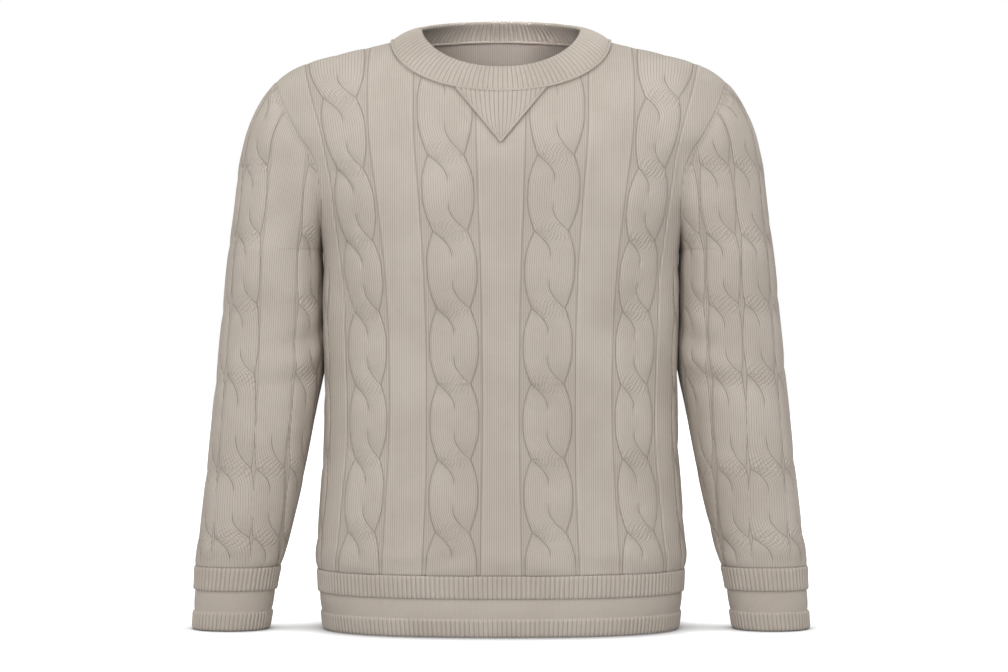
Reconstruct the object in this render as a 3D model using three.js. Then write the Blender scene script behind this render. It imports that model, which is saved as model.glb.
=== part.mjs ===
// A crew-neck cable-knit sweater, hollow and filled out as when it is worn, arms hanging.
// Millimetres, +Z up, front towards -Y. The origin lies midway between the two points
// where the shoulder seams meet the collar, which is where the wearer's shoulders carry it.
import * as THREE from "three";

// Cloth
const CLOTH = 2.2; // thickness of the plain knit
const SEAM_TRIM = 0.15; // what each of two linked pieces gives up along their seam
const CABLE_HEIGHT = 4.0; // how far a cable strand stands out of the plain knit
const RIB_LOW = 0.6; // of a ribbed strip, above the plain knit
const RIB_HIGH = 1.7;
const RIB_PITCH = 5.1;
const CUFF_RIB_PITCH = 4.6;

// Body
const HEM_TOP = -574;
const HEM_BOTTOM = -639;
const UNDERARM = -225;
const SHOULDER_TIP = -41;
const LEVEL_TOP = -250; // below this a body panel's rows are level
const NECK_HALF_WIDTH = 119;
const NECK_SIDE_HEIGHT = 3;
const FRONT_NECK_DROP = 61; // from the neck's side point down to the front
const BACK_NECK_RISE = 7;
const CAP_REACH = { front: 62, back: 64 }; // how far the armhole reaches forwards and back

// The torso's level sections: half width, and depth in front of and behind the side seams.
// Above the armpit they run on under the sleeve, and the armhole is cut out of them.
const SECTION_POWER = 2.4;
const TORSO = [
  { z: -640, half_width: 194, front: 115.5, back: 108 },
  { z: -620, half_width: 196.5, front: 117, back: 110 },
  { z: -598, half_width: 199, front: 118.5, back: 111.5 },
  { z: -574, half_width: 201, front: 120, back: 113 },
  { z: -540, half_width: 200.3, front: 119, back: 111 },
  { z: -500, half_width: 197.5, front: 115, back: 107 },
  { z: -445, half_width: 194, front: 111.5, back: 103 },
  { z: -390, half_width: 192.5, front: 110.5, back: 102 },
  { z: -335, half_width: 192.5, front: 112, back: 104.5 },
  { z: -290, half_width: 193, front: 114.5, back: 108 },
  { z: -225, half_width: 196, front: 117.5, back: 115 },
  { z: -200, half_width: 201.5, front: 117.5, back: 117 },
  { z: -172, half_width: 210.5, front: 116.5, back: 118 },
  { z: -137, half_width: 226, front: 112, back: 117 },
  { z: -120, half_width: 237, front: 108, back: 115 },
  { z: -105, half_width: 249, front: 103, back: 113 },
  { z: -85, half_width: 258, front: 94, back: 109 },
  { z: -66, half_width: 258.5, front: 84, back: 103 },
  { z: -48, half_width: 251.5, front: 72, back: 96 },
  { z: -41, half_width: 246.5, front: 67, back: 93 },
  { z: -28.5, half_width: 230, front: 58, back: 89 },
  { z: -20.5, half_width: 211, front: 52, back: 86.5 },
  { z: -9, half_width: 168, front: 43, back: 82.5 },
  { z: 3, half_width: 119, front: 33, back: 78 },
  { z: 10, half_width: 102, front: 26, back: 75 },
  { z: 14, half_width: 90, front: 22, back: 73 },
];

// The sleeve's level sections. Above the armpit only the outer edge is its own: the rest
// follows from the armhole.
const SLEEVE = [
  { z: -571, outer: 337.5, inner: 241.3, middle: -12, front: 42, back: 42 },
  { z: -530, outer: 333.5, inner: 230, middle: -10, front: 45, back: 45 },
  { z: -462, outer: 325.5, inner: 214.5, middle: -6, front: 50, back: 50 },
  { z: -396, outer: 318, inner: 203.5, middle: -2, front: 54, back: 54 },
  { z: -355, outer: 313, inner: 198.5, middle: 1, front: 56, back: 56 },
  { z: -325, outer: 310, inner: 196.6, middle: 3, front: 57.5, back: 57.5 },
  { z: -296, outer: 306.5, inner: 196.6, middle: 4, front: 59, back: 59 },
  { z: -258, outer: 302.2, inner: 198, middle: 3, front: 60.5, back: 61 },
  { z: -240, outer: 300, inner: 198.6, middle: 1.5, front: 61, back: 62 },
  { z: -225, outer: 298, inner: 196.2, middle: 0, front: 61.3, back: 63 },
  { z: -207, outer: 295.6, inner: 0, middle: 0, front: 61.5, back: 63.3 },
  { z: -185, outer: 292.6, inner: 0, middle: 0, front: 61.7, back: 63.6 },
  { z: -152, outer: 289, inner: 0, middle: 0, front: 61.9, back: 63.9 },
  { z: -133, outer: 286.8, inner: 0, middle: 0, front: 62, back: 64 },
  { z: -108, outer: 281.6, inner: 0, middle: 0, front: 62, back: 64 },
  { z: -89, outer: 275.5, inner: 0, middle: 0, front: 62, back: 64 },
  { z: -72, outer: 267.8, inner: 0, middle: 0, front: 62, back: 64 },
  { z: -57, outer: 258.8, inner: 0, middle: 0, front: 62, back: 64 },
  { z: -41, outer: 246.8, inner: 0, middle: 0, front: 62, back: 64 },
];
const SLEEVE_POWER = 2.15;
const ARMHOLE_STEPS = 12; // from the armpit to the shoulder tip

// Cables
const PINCH = 0.68; // a cable's width at a crossing, as a share of its full width
const TURN = 0.14; // share of the pitch between a crossing and the rows beside it
const INNER_CROSSINGS = [-528, -451, -371, -291, -209, -128, -47];
const OUTER_CROSSINGS = [-529, -451, -372, -294, -218, -141, -64];
const SLEEVE_CROSSINGS = [-538, -463, -361, -285, -210, -135, -60];
// Distance of a body cable from the middle of the panel and its half width
const BODY_CABLES = [
  { z: -574, inner: 52.8, inner_half: 27, outer: 152.5, outer_half: 22.5 },
  { z: -494, inner: 50.5, inner_half: 26, outer: 147, outer_half: 21 },
  { z: -420, inner: 49.4, inner_half: 26, outer: 142.5, outer_half: 20.5 },
  { z: -330, inner: 49.8, inner_half: 26, outer: 143, outer_half: 20.5 },
  { z: -250, inner: 51.8, inner_half: 26.5, outer: 148, outer_half: 21 },
  { z: -170, inner: 56, inner_half: 27.5, outer: 157.5, outer_half: 21.5 },
  { z: -105, inner: 59.5, inner_half: 29, outer: 167, outer_half: 22.5 },
  { z: -41, inner: 60.5, inner_half: 29.5, outer: 176, outer_half: 25 },
  { z: 14, inner: 60.5, inner_half: 29.5, outer: 178, outer_half: 26 },
];
const SIDE_CABLE = { from_seam: 23, half: 20 };
// Distance of a sleeve cable round from the outer line, as a share of the half round
const SLEEVE_CABLES = [
  { share: -0.85, fine: false },
  { share: -0.58, fine: true },
  { share: -0.28, fine: true },
  { share: 0, fine: true },
  { share: 0.28, fine: false },
  { share: 0.58, fine: false },
  { share: 0.85, fine: false },
];
const SLEEVE_CABLE_HALF = 19.5;

// Collar
const BAND_TOP_HALF_WIDTH = 87;
const BAND_TOP_REACH = { front: 60, back: 60 };
const BAND_TOP_SIDE_HEIGHT = 19;
const BAND_TOP_HEIGHT = { front: -29, back: 33 };
const BAND_BULGE = 2.4;
const BAND_RIBS = 120;
const INSERT_HALF_WIDTH = 50;
const INSERT_POINT = -114;
const INSERT_RIBS = 18;
const INSERT_CLOTH = 1.4;
const INSERT_LIFT = 0.7; // clear of the panel it lies on

const clamp = (x, low, high) => Math.min(high, Math.max(low, x));
const mix = (a, b, t) => a + (b - a) * t;
const smooth = (t) => {
  const c = clamp(t, 0, 1);
  return c * c * (3 - 2 * c);
};
const steps = (from, to, count) =>
  Array.from({ length: count + 1 }, (_, i) => mix(from, to, i / count));
const facing = { front: -1, back: 1 }; // the sign of y

// A smooth curve through one column of a table of rows in order of z.
function column(table, name) {
  const last = table.length - 1;
  const slope = (i) => {
    const [a, b] = [table[Math.max(0, i - 1)], table[Math.min(last, i + 1)]];
    return (b[name] - a[name]) / (b.z - a.z);
  };
  const slopes = table.map((_, i) => slope(i));
  return (z) => {
    const at = clamp(z, table[0].z, table[last].z);
    let i = 0;
    while (i < last - 1 && at > table[i + 1].z) i++;
    const width = table[i + 1].z - table[i].z;
    const t = (at - table[i].z) / width;
    const u = 1 - t;
    const ends = table[i][name] * u * u * (1 + 2 * t) + table[i + 1][name] * t * t * (3 - 2 * t);
    return ends + width * t * u * (slopes[i] * u - slopes[i + 1] * t);
  };
}

const halfWidth = column(TORSO, "half_width");
const depth = { front: column(TORSO, "front"), back: column(TORSO, "back") };

// A point of the torso's form at an angle round from the middle of the panel, a quarter
// turn being the side seam or the ridge of the shoulder.
function torsoPoint(side, angle, z) {
  const across = Math.abs(Math.sin(angle)) ** (2 / SECTION_POWER);
  const out = Math.max(0, Math.cos(angle)) ** (2 / SECTION_POWER);
  return new THREE.Vector3(halfWidth(z) * across, facing[side] * depth[side](z) * out, z);
}

const angleAcross = (x, z) => Math.asin(clamp(x / halfWidth(z), 0, 1) ** (SECTION_POWER / 2));

function torsoNormal(side, p) {
  const [a, b] = [halfWidth(p.z), depth[side](p.z)];
  const growA = halfWidth(p.z + 0.5) - halfWidth(p.z - 0.5);
  const growB = depth[side](p.z + 0.5) - depth[side](p.z - 0.5);
  const [wide, deep] = [Math.abs(p.x) / a, Math.abs(p.y) / b];
  const n = SECTION_POWER;
  const upwards = -(wide ** n * growA) / a - (deep ** n * growB) / b;
  const x = (Math.sign(p.x) * wide ** (n - 1)) / a;
  const y = (facing[side] * deep ** (n - 1)) / b;
  return new THREE.Vector3(x, y, upwards).normalize();
}

// Angles by length along a level section, from a point function of the angle.
function ruler(pointAt, end) {
  const count = 160;
  const lengths = [0];
  let previous = pointAt(0);
  for (let i = 1; i <= count; i++) {
    const next = pointAt((end * i) / count);
    lengths.push(lengths[i - 1] + next.distanceTo(previous));
    previous = next;
  }
  return {
    total: lengths[count],
    angle(length) {
      let i = 0;
      while (i < count - 1 && length > lengths[i + 1]) i++;
      const t = (length - lengths[i]) / (lengths[i + 1] - lengths[i]);
      return (end * (i + clamp(t, 0, 1))) / count;
    },
  };
}

// The armhole, at k steps up from the armpit
const armholeTurn = (k) => Math.PI * (1 - k / ARMHOLE_STEPS);
const ARM_MIDDLE = (SHOULDER_TIP + UNDERARM) / 2;
const armholeHeight = (k) => ARM_MIDDLE + (SHOULDER_TIP - ARM_MIDDLE) * Math.cos(armholeTurn(k));
function armholeReach(side, z) {
  const cosine = clamp((z - ARM_MIDDLE) / (SHOULDER_TIP - ARM_MIDDLE), -1, 1);
  return CAP_REACH[side] * Math.sqrt(1 - cosine * cosine) ** 1.15;
}
function armholeAngle(side, z) {
  const share = armholeReach(side, z) / depth[side](z);
  return Math.acos(clamp(share, 0, 1) ** (SECTION_POWER / 2));
}

// The height of a panel's upper edge: the neckline, then the shoulder's ridge.
function topHeight(side, x) {
  if (x < NECK_HALF_WIDTH) {
    const round = (1 - (x / NECK_HALF_WIDTH) ** 2.1) ** (1 / 2.1);
    const change = side === "front" ? -FRONT_NECK_DROP * round : BACK_NECK_RISE * round ** 3;
    return NECK_SIDE_HEIGHT + change;
  }
  let [low, high] = [SHOULDER_TIP, NECK_SIDE_HEIGHT];
  for (let i = 0; i < 40; i++) {
    const middle = (low + high) / 2;
    if (halfWidth(middle) > x) low = middle;
    else high = middle;
  }
  return (low + high) / 2;
}

// The left sleeve's level section at z: its middle, half width and depths.
const sleeveColumn = Object.fromEntries(
  Object.keys(SLEEVE[0]).map((name) => [name, column(SLEEVE, name)]),
);
function sleeveSection(side, z) {
  const outer = sleeveColumn.outer(z);
  const middle = sleeveColumn.middle(z);
  if (z <= UNDERARM) {
    const half = (outer - sleeveColumn.inner(z)) / 2;
    return { x: outer - half, y: middle, half, deep: sleeveColumn[side](z), end: Math.PI };
  }
  const reach = armholeReach(side, z);
  const seam = torsoPoint(side, armholeAngle(side, z), z);
  const deep = z < ARM_MIDDLE ? Math.max(sleeveColumn[side](z), reach) : Math.max(reach, 0.01);
  const wide = Math.max(0, 1 - (reach / deep) ** SLEEVE_POWER) ** (1 / SLEEVE_POWER);
  const half = (outer - seam.x) / (1 + wide);
  const end = Math.PI / 2 + Math.asin(wide ** (SLEEVE_POWER / 2));
  return { x: outer - half, y: 0, half, deep, end };
}

function sleevePoint(side, angle, z, section = sleeveSection(side, z)) {
  const cosine = Math.cos(angle);
  const along = Math.sign(cosine) * Math.abs(cosine) ** (2 / SLEEVE_POWER);
  const across = Math.abs(Math.sin(angle)) ** (2 / SLEEVE_POWER);
  const y = section.y + facing[side] * section.deep * across;
  return new THREE.Vector3(section.x + section.half * along, y, z);
}

function sleeveNormal(side, angle, z) {
  const section = sleeveSection(side, z);
  const from = sleevePoint(side, Math.max(angle - 0.02, 0), z, section);
  const to = sleevePoint(side, Math.min(angle + 0.02, section.end), z, section);
  const around = to.sub(from);
  if (angle < 1e-6) around.set(0, facing[side], 0);
  if (z <= UNDERARM && angle > Math.PI - 1e-6) around.set(0, -facing[side], 0);
  const [low, high] = [Math.max(z - 1, SLEEVE[0].z), Math.min(z + 1, SHOULDER_TIP - 0.2)];
  const share = angle / section.end;
  const at = (height) => {
    const there = sleeveSection(side, height);
    return sleevePoint(side, share * there.end, height, there);
  };
  const upwards = at(high).sub(at(low));
  return around.cross(upwards).multiplyScalar(facing[side]).normalize();
}

// The collar: turn runs round from the left side over the back, v from its base to its top.
function bandPoint(turn, v) {
  const [cosine, sine] = [Math.cos(turn), Math.sin(turn)];
  const side = sine >= 0 ? "back" : "front";
  const x = NECK_HALF_WIDTH * Math.abs(cosine);
  const z = topHeight(side, Math.min(x, NECK_HALF_WIDTH));
  const base = torsoPoint(side, angleAcross(x, z), z);
  base.x = NECK_HALF_WIDTH * cosine;
  const top = new THREE.Vector3(
    BAND_TOP_HALF_WIDTH * Math.sign(cosine) * Math.abs(cosine) ** 0.95,
    BAND_TOP_REACH[side] * Math.sign(sine) * Math.abs(sine) ** 0.95,
    mix(BAND_TOP_SIDE_HEIGHT, BAND_TOP_HEIGHT[side], Math.abs(sine) ** 1.15),
  );
  const flat = new THREE.Vector3(cosine * 0.8, sine, 0.75).normalize();
  return base.lerp(top, v).addScaledVector(flat, BAND_BULGE * 4 * v * (1 - v));
}

function bandNormal(turn, v) {
  const around = bandPoint(turn + 0.02, v).sub(bandPoint(turn - 0.02, v));
  const [low, high] = [Math.max(0, v - 0.05), Math.min(1, v + 0.05)];
  return around.cross(bandPoint(turn, high).sub(bandPoint(turn, low))).normalize();
}

// A cable's profile at phase q: places across it, from -1 to 1, with their heights.
// The strand on top at a crossing runs from the upper left to the lower right.
function cableStops(q, twist, fine = true) {
  const away = q - Math.round(q);
  const edge = mix(PINCH, 1, smooth(Math.abs(away) / 0.3));
  const crossing = Math.abs(away) < 1e-3;
  if (!fine) return [[-edge, 0], [0, crossing ? 1 : 0.8], [edge, 0]];
  if (crossing) return [[-edge, 0], [-edge / 2, 0.9], [0, 1], [edge / 2, 0.9], [edge, 0]];
  const groove = twist * Math.sign(away) * PINCH * (1 - smooth(Math.abs(away) / 0.36));
  const strand = (low, high) => [(low + high) / 2, Math.min(1, (high - low) / 0.85) ** 0.5];
  return [[-edge, 0], strand(-edge, groove), [groove, 0.2], strand(groove, edge), [edge, 0]];
}

// The phase of a column of cables at height z, whole at its crossings.
function cablePhase(crossings, z) {
  const last = crossings.length - 2;
  let i = 0;
  while (i < last && z > crossings[i + 1]) i++;
  return i + (z - crossings[i]) / (crossings[i + 1] - crossings[i]);
}

const reversed = (row) => ({
  at: [...row.at].reverse().map((a) => -a),
  index: [...row.index].reverse(),
});

// The chain of the vertices at one end of each row.
const endsOf = (rows, pick) => ({
  at: rows.map((row, i) => row.level ?? i),
  index: rows.map((row) => pick(row.index)),
});
const leftEnd = (index) => index[0];
const rightEnd = (index) => index[index.length - 1];

// Joins vertices into triangles. Rows run left to right as seen from outside the cloth.
class Surface {
  constructor() {
    this.points = [];
    this.faces = [];
  }

  row(points, at) {
    const first = this.points.length;
    this.points.push(...points);
    return { at, index: points.map((_, i) => first + i) };
  }

  closed(points, at) {
    const row = this.row(points, at);
    row.index.push(row.index[0]);
    return row;
  }

  // Fills the strip between two rows, whatever their numbers of points.
  join(lower, upper) {
    let [i, j] = [0, 0];
    const [lowerEnd, upperEnd] = [lower.index.length - 1, upper.index.length - 1];
    while (i < lowerEnd || j < upperEnd) {
      const lowerNext = i < lowerEnd ? lower.at[i] + lower.at[i + 1] : Infinity;
      const upperNext = j < upperEnd ? upper.at[j] + upper.at[j + 1] : Infinity;
      if (this.takesLower(lower, upper, i, j, lowerNext - upperNext)) {
        this.faces.push([lower.index[i], lower.index[i + 1], upper.index[j]]);
        i++;
      } else {
        this.faces.push([lower.index[i], upper.index[j + 1], upper.index[j]]);
        j++;
      }
    }
  }

  // Which row goes on next: the one that is behind, or else the one with the shorter diagonal.
  takesLower(lower, upper, i, j, lead) {
    if (Math.abs(lead) > 1e-6) return lead < 0;
    const point = (row, at) => this.points[row.index[at]];
    const rising = point(lower, i).distanceTo(point(upper, j + 1));
    const falling = point(lower, i + 1).distanceTo(point(upper, j));
    return falling <= rising;
  }

  joinUp(rows) {
    for (let i = 0; i < rows.length - 1; i++) this.join(rows[i], rows[i + 1]);
  }

  // The inside of the wall, facing the other way
  joinDown(rows) {
    for (let i = 0; i < rows.length - 1; i++) this.join(rows[i + 1], rows[i]);
  }

  // Closes the wall along the four edges of two open grids of rows.
  closeEdges(inner, outer) {
    this.join(inner[0], outer[0]);
    this.join(endsOf(inner, rightEnd), endsOf(outer, rightEnd));
    this.join(reversed(inner[inner.length - 1]), reversed(outer[outer.length - 1]));
    this.join(reversed(endsOf(inner, leftEnd)), reversed(endsOf(outer, leftEnd)));
  }

  mesh(name) {
    const geometry = new THREE.BufferGeometry();
    const numbers = this.points.flatMap((p) => [p.x, p.y, p.z]);
    geometry.setAttribute("position", new THREE.Float32BufferAttribute(numbers, 3));
    geometry.setIndex(this.faces.flat());
    geometry.computeVertexNormals();
    const material = new THREE.MeshStandardMaterial({ color: 0xbdb2a5, roughness: 0.95 });
    const mesh = new THREE.Mesh(geometry, material);
    mesh.name = name;
    return mesh;
  }
}

// The thickness of the cloth at a seam, towards its inside: along the normal halfway between
// the two pieces, or along the piece's own in the armpit, where the walls stand face to face.
function seamWall(own, other) {
  const halfway = own.clone().add(other);
  const length = halfway.length() / 2;
  if (length < 0.02) return own.clone().multiplyScalar(CLOTH);
  const mitre = halfway.normalize().multiplyScalar(CLOTH / Math.max(length, 0.75));
  return mitre.lerp(own.clone().multiplyScalar(CLOTH), smooth((0.75 - length) / 0.4));
}

function acrossSeam(before, after, own, other) {
  const along = after.clone().sub(before).normalize();
  let halfway = own.clone().add(other);
  if (halfway.length() < 0.05) halfway = new THREE.Vector3(0, 0, -1);
  return along.cross(halfway.normalize()).normalize();
}

// A vertex of the left armhole, with the normals of panel and sleeve there.
function armholeVertex(side, k) {
  const z = armholeHeight(k);
  const atEnd = k === 0 || k === ARMHOLE_STEPS;
  const point = torsoPoint(side, atEnd ? Math.PI / 2 : armholeAngle(side, z), z);
  if (atEnd) point.y = 0;
  const panel = torsoNormal(side, point);
  const sleeve = sleeveNormal(side, sleeveSection(side, z).end, z);
  if (k === ARMHOLE_STEPS) sleeve.set(0.77, 0, 0.64);
  if (k === 0) sleeve.set(-1, 0, 0.05).normalize();
  return { point, panel, sleeve };
}

function armholeSeam(side, k) {
  const other = side === "front" ? "back" : "front";
  const seam = armholeVertex(side, k);
  const before = k === 0 ? armholeVertex(other, 1) : armholeVertex(side, k - 1);
  const after = armholeVertex(k === ARMHOLE_STEPS ? other : side, k === ARMHOLE_STEPS ? k - 1 : k + 1);
  const across = acrossSeam(before.point, after.point, seam.panel, seam.sleeve);
  return { ...seam, towardsSleeve: across.multiplyScalar(-facing[side]) };
}

// A vertex of the neckline, with the normals of panel and collar there.
function neckSeam(turn) {
  const point = bandPoint(turn, 0);
  const panel = torsoNormal(Math.sin(turn) >= 0 ? "back" : "front", point);
  const band = bandNormal(turn, 0);
  const [before, after] = [bandPoint(turn - 0.03, 0), bandPoint(turn + 0.03, 0)];
  return { point, panel, band, towardsPanel: acrossSeam(before, after, panel, band) };
}

// The turn of the collar at a distance to one side; hand is 1 towards +X.
function neckTurn(side, x, hand) {
  const turn = Math.acos(clamp(x / NECK_HALF_WIDTH, 0, 1) * hand);
  return side === "back" ? turn : 2 * Math.PI - turn;
}

const TOP_GAPS = [105, 115, 118.5, NECK_HALF_WIDTH];
const LEVEL_ROWS = [HEM_TOP];
for (let i = 0; i < 4; i++) {
  const at = OUTER_CROSSINGS[i];
  const pitch = OUTER_CROSSINGS[i + 1] - at;
  LEVEL_ROWS.push(at - TURN * pitch, at, at + TURN * pitch);
  LEVEL_ROWS.push(i < 3 ? at + pitch / 2 : LEVEL_TOP);
}
// Above them the rows rise evenly at first and draw together below the shoulder's ridge.
const UPPER_ROWS = ARMHOLE_STEPS + 1;
const UPPER_SHARES = steps(0, 1, UPPER_ROWS).slice(1);
UPPER_SHARES[UPPER_ROWS - 3] = 0.875;
UPPER_SHARES[UPPER_ROWS - 2] = 0.965;
const ROW_COUNT = LEVEL_ROWS.length + UPPER_ROWS;
const bodyCable = Object.fromEntries(
  Object.keys(BODY_CABLES[0]).map((name) => [name, column(BODY_CABLES, name)]),
);

function underInsert(side, x, z) {
  const room = 15;
  const half = (INSERT_HALF_WIDTH * (z - INSERT_POINT + room)) / (-57 - INSERT_POINT);
  return side === "front" && x < half + room;
}

function panelHeight(side, row, x) {
  const upper = row - LEVEL_ROWS.length;
  if (upper < 0) return LEVEL_ROWS[row];
  return mix(LEVEL_TOP, topHeight(side, x), UPPER_SHARES[upper]);
}

// The places of one half of a panel's row, from the middle outwards. The twist is 1 where
// outwards is to the right as seen from outside the cloth, and -1 where it is to the left.
function halfRow(side, row, twist) {
  const upper = row - LEVEL_ROWS.length;
  const level = upper < 0;
  const last = row === ROW_COUNT - 1;
  const fade = last ? 0 : row === 0 ? 0.5 : 1;
  const cells = [];
  const addAcross = (x, height) => {
    const z = panelHeight(side, row, x);
    const angle = last && x >= NECK_HALF_WIDTH ? Math.PI / 2 : angleAcross(x, z);
    const relief = underInsert(side, x, z) ? 0 : height * fade;
    cells.push({ angle, z, x, relief });
  };
  const addCable = (name, crossings, nearby) => {
    const place = panelHeight(side, row, nearby);
    const middle = bodyCable[name](place);
    const half = bodyCable[name + "_half"](place);
    const exact = cablePhase(crossings, place);
    const phase = level && Math.abs(exact - Math.round(exact)) < 0.06 ? Math.round(exact) : exact;
    for (const [c, height] of cableStops(phase, twist)) addAcross(middle + c * half, height * CABLE_HEIGHT);
  };
  addCable("inner", INNER_CROSSINGS, 60);
  const [innerCells, innerEdge] = [cells.length, cells[cells.length - 1].x];
  addCable("outer", OUTER_CROSSINGS, 174);
  const outerCells = cells.splice(innerCells);
  TOP_GAPS.forEach((x, i) => {
    const even = mix(innerEdge, outerCells[0].x, (i + 1) / (TOP_GAPS.length + 1));
    addAcross(level ? even : mix(even, x, smooth(UPPER_SHARES[upper])), 0);
  });
  cells.push(...outerCells);
  if (level) {
    const z = LEVEL_ROWS[row];
    const rule = ruler((angle) => torsoPoint(side, angle, z), Math.PI / 2);
    const middle = rule.total - SIDE_CABLE.from_seam;
    for (const c of [-1, 0, 1]) {
      const relief = c === 0 ? CABLE_HEIGHT * 0.8 * fade : 0;
      cells.push({ angle: rule.angle(middle + c * SIDE_CABLE.half), z, relief });
    }
    cells.push({ angle: Math.PI / 2, z, relief: 0 });
    return cells;
  }
  const start = cells[cells.length - 1];
  const z = armholeHeight(upper);
  const atEnd = upper === 0 || last;
  const end = { angle: atEnd ? Math.PI / 2 : armholeAngle(side, z), z, relief: 0, armhole: upper };
  for (const t of [0.3, 0.62, 0.85]) {
    const angle = last ? Math.PI / 2 : mix(start.angle, end.angle, t);
    cells.push({ angle, z: mix(start.z, end.z, t), relief: 0 });
  }
  cells.push(end);
  return cells;
}

// The outer and inner vertex of a panel at one place, on the side of +X for hand 1.
function panelVertex(side, row, cell, hand) {
  const last = row === ROW_COUNT - 1;
  const p = torsoPoint(side, cell.angle, cell.z);
  const onRidge = cell.angle > Math.PI / 2 - 1e-9;
  if (onRidge) p.y = 0;
  let wall = torsoNormal(side, p).multiplyScalar(CLOTH);
  const trim = new THREE.Vector3(0, onRidge ? facing[side] * SEAM_TRIM : 0, row === 0 ? SEAM_TRIM : 0);
  if (cell.armhole !== undefined) {
    const seam = armholeSeam(side, cell.armhole);
    wall = seamWall(seam.panel, seam.sleeve);
    trim.addScaledVector(seam.towardsSleeve, -SEAM_TRIM);
  } else if (last && cell.x <= NECK_HALF_WIDTH) {
    const seam = neckSeam(neckTurn(side, cell.x, 1));
    p.copy(seam.point);
    wall = seamWall(seam.panel, seam.band);
    trim.addScaledVector(seam.towardsPanel, SEAM_TRIM);
  }
  const outward = torsoNormal(side, p);
  p.add(trim);
  const mirror = new THREE.Vector3(hand, 1, 1);
  return {
    inner: p.clone().sub(wall).multiply(mirror),
    outer: p.clone().addScaledVector(outward, cell.relief).multiply(mirror),
  };
}

const INNER_COLUMNS = [2, 6, 9, 11, 13, 14, 15, 16, 17]; // of a half row, for the inside

function bodyPanel(name, side) {
  const surface = new Surface();
  const [outerRows, innerRows] = [[], []];
  for (let row = 0; row < ROW_COUNT; row++) {
    const right = -facing[side]; // the hand that is to the right as seen from outside
    const middle = { angle: 0, z: panelHeight(side, row, 0), x: 0, relief: 0 };
    const half = (twist) =>
      halfRow(side, row, twist).map((cell, i) => ({
        ...panelVertex(side, row, cell, twist * right),
        at: twist * (i + 1),
        place: i,
      }));
    const cells = [
      ...half(-1).reverse(),
      { ...panelVertex(side, row, middle, right), at: 0, place: -1 },
      ...half(1),
    ];
    const add = (list, which) =>
      surface.row(list.map((cell) => cell[which]), list.map((cell) => cell.at));
    outerRows.push({ ...add(cells, "outer"), level: row });
    const last = row === ROW_COUNT - 1;
    if (row < LEVEL_ROWS.length - 1 && row % 4 !== 0) continue;
    const kept = cells.filter((cell) => last || cell.place < 0 || INNER_COLUMNS.includes(cell.place));
    innerRows.push({ ...add(kept, "inner"), level: row });
  }
  surface.joinUp(outerRows);
  surface.joinDown(innerRows);
  surface.closeEdges(innerRows, outerRows);
  return surface.mesh(name);
}

const SLEEVE_END = SLEEVE[0].z;
const SLEEVE_ROWS = [SLEEVE_END + SEAM_TRIM];
for (let i = 0; i < 4; i++) {
  const at = SLEEVE_CROSSINGS[i];
  const pitch = SLEEVE_CROSSINGS[i + 1] - at;
  SLEEVE_ROWS.push(at - TURN * 75, at, at + TURN * 75);
  SLEEVE_ROWS.push(i < 3 ? at + pitch / 2 : -240);
}

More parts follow.
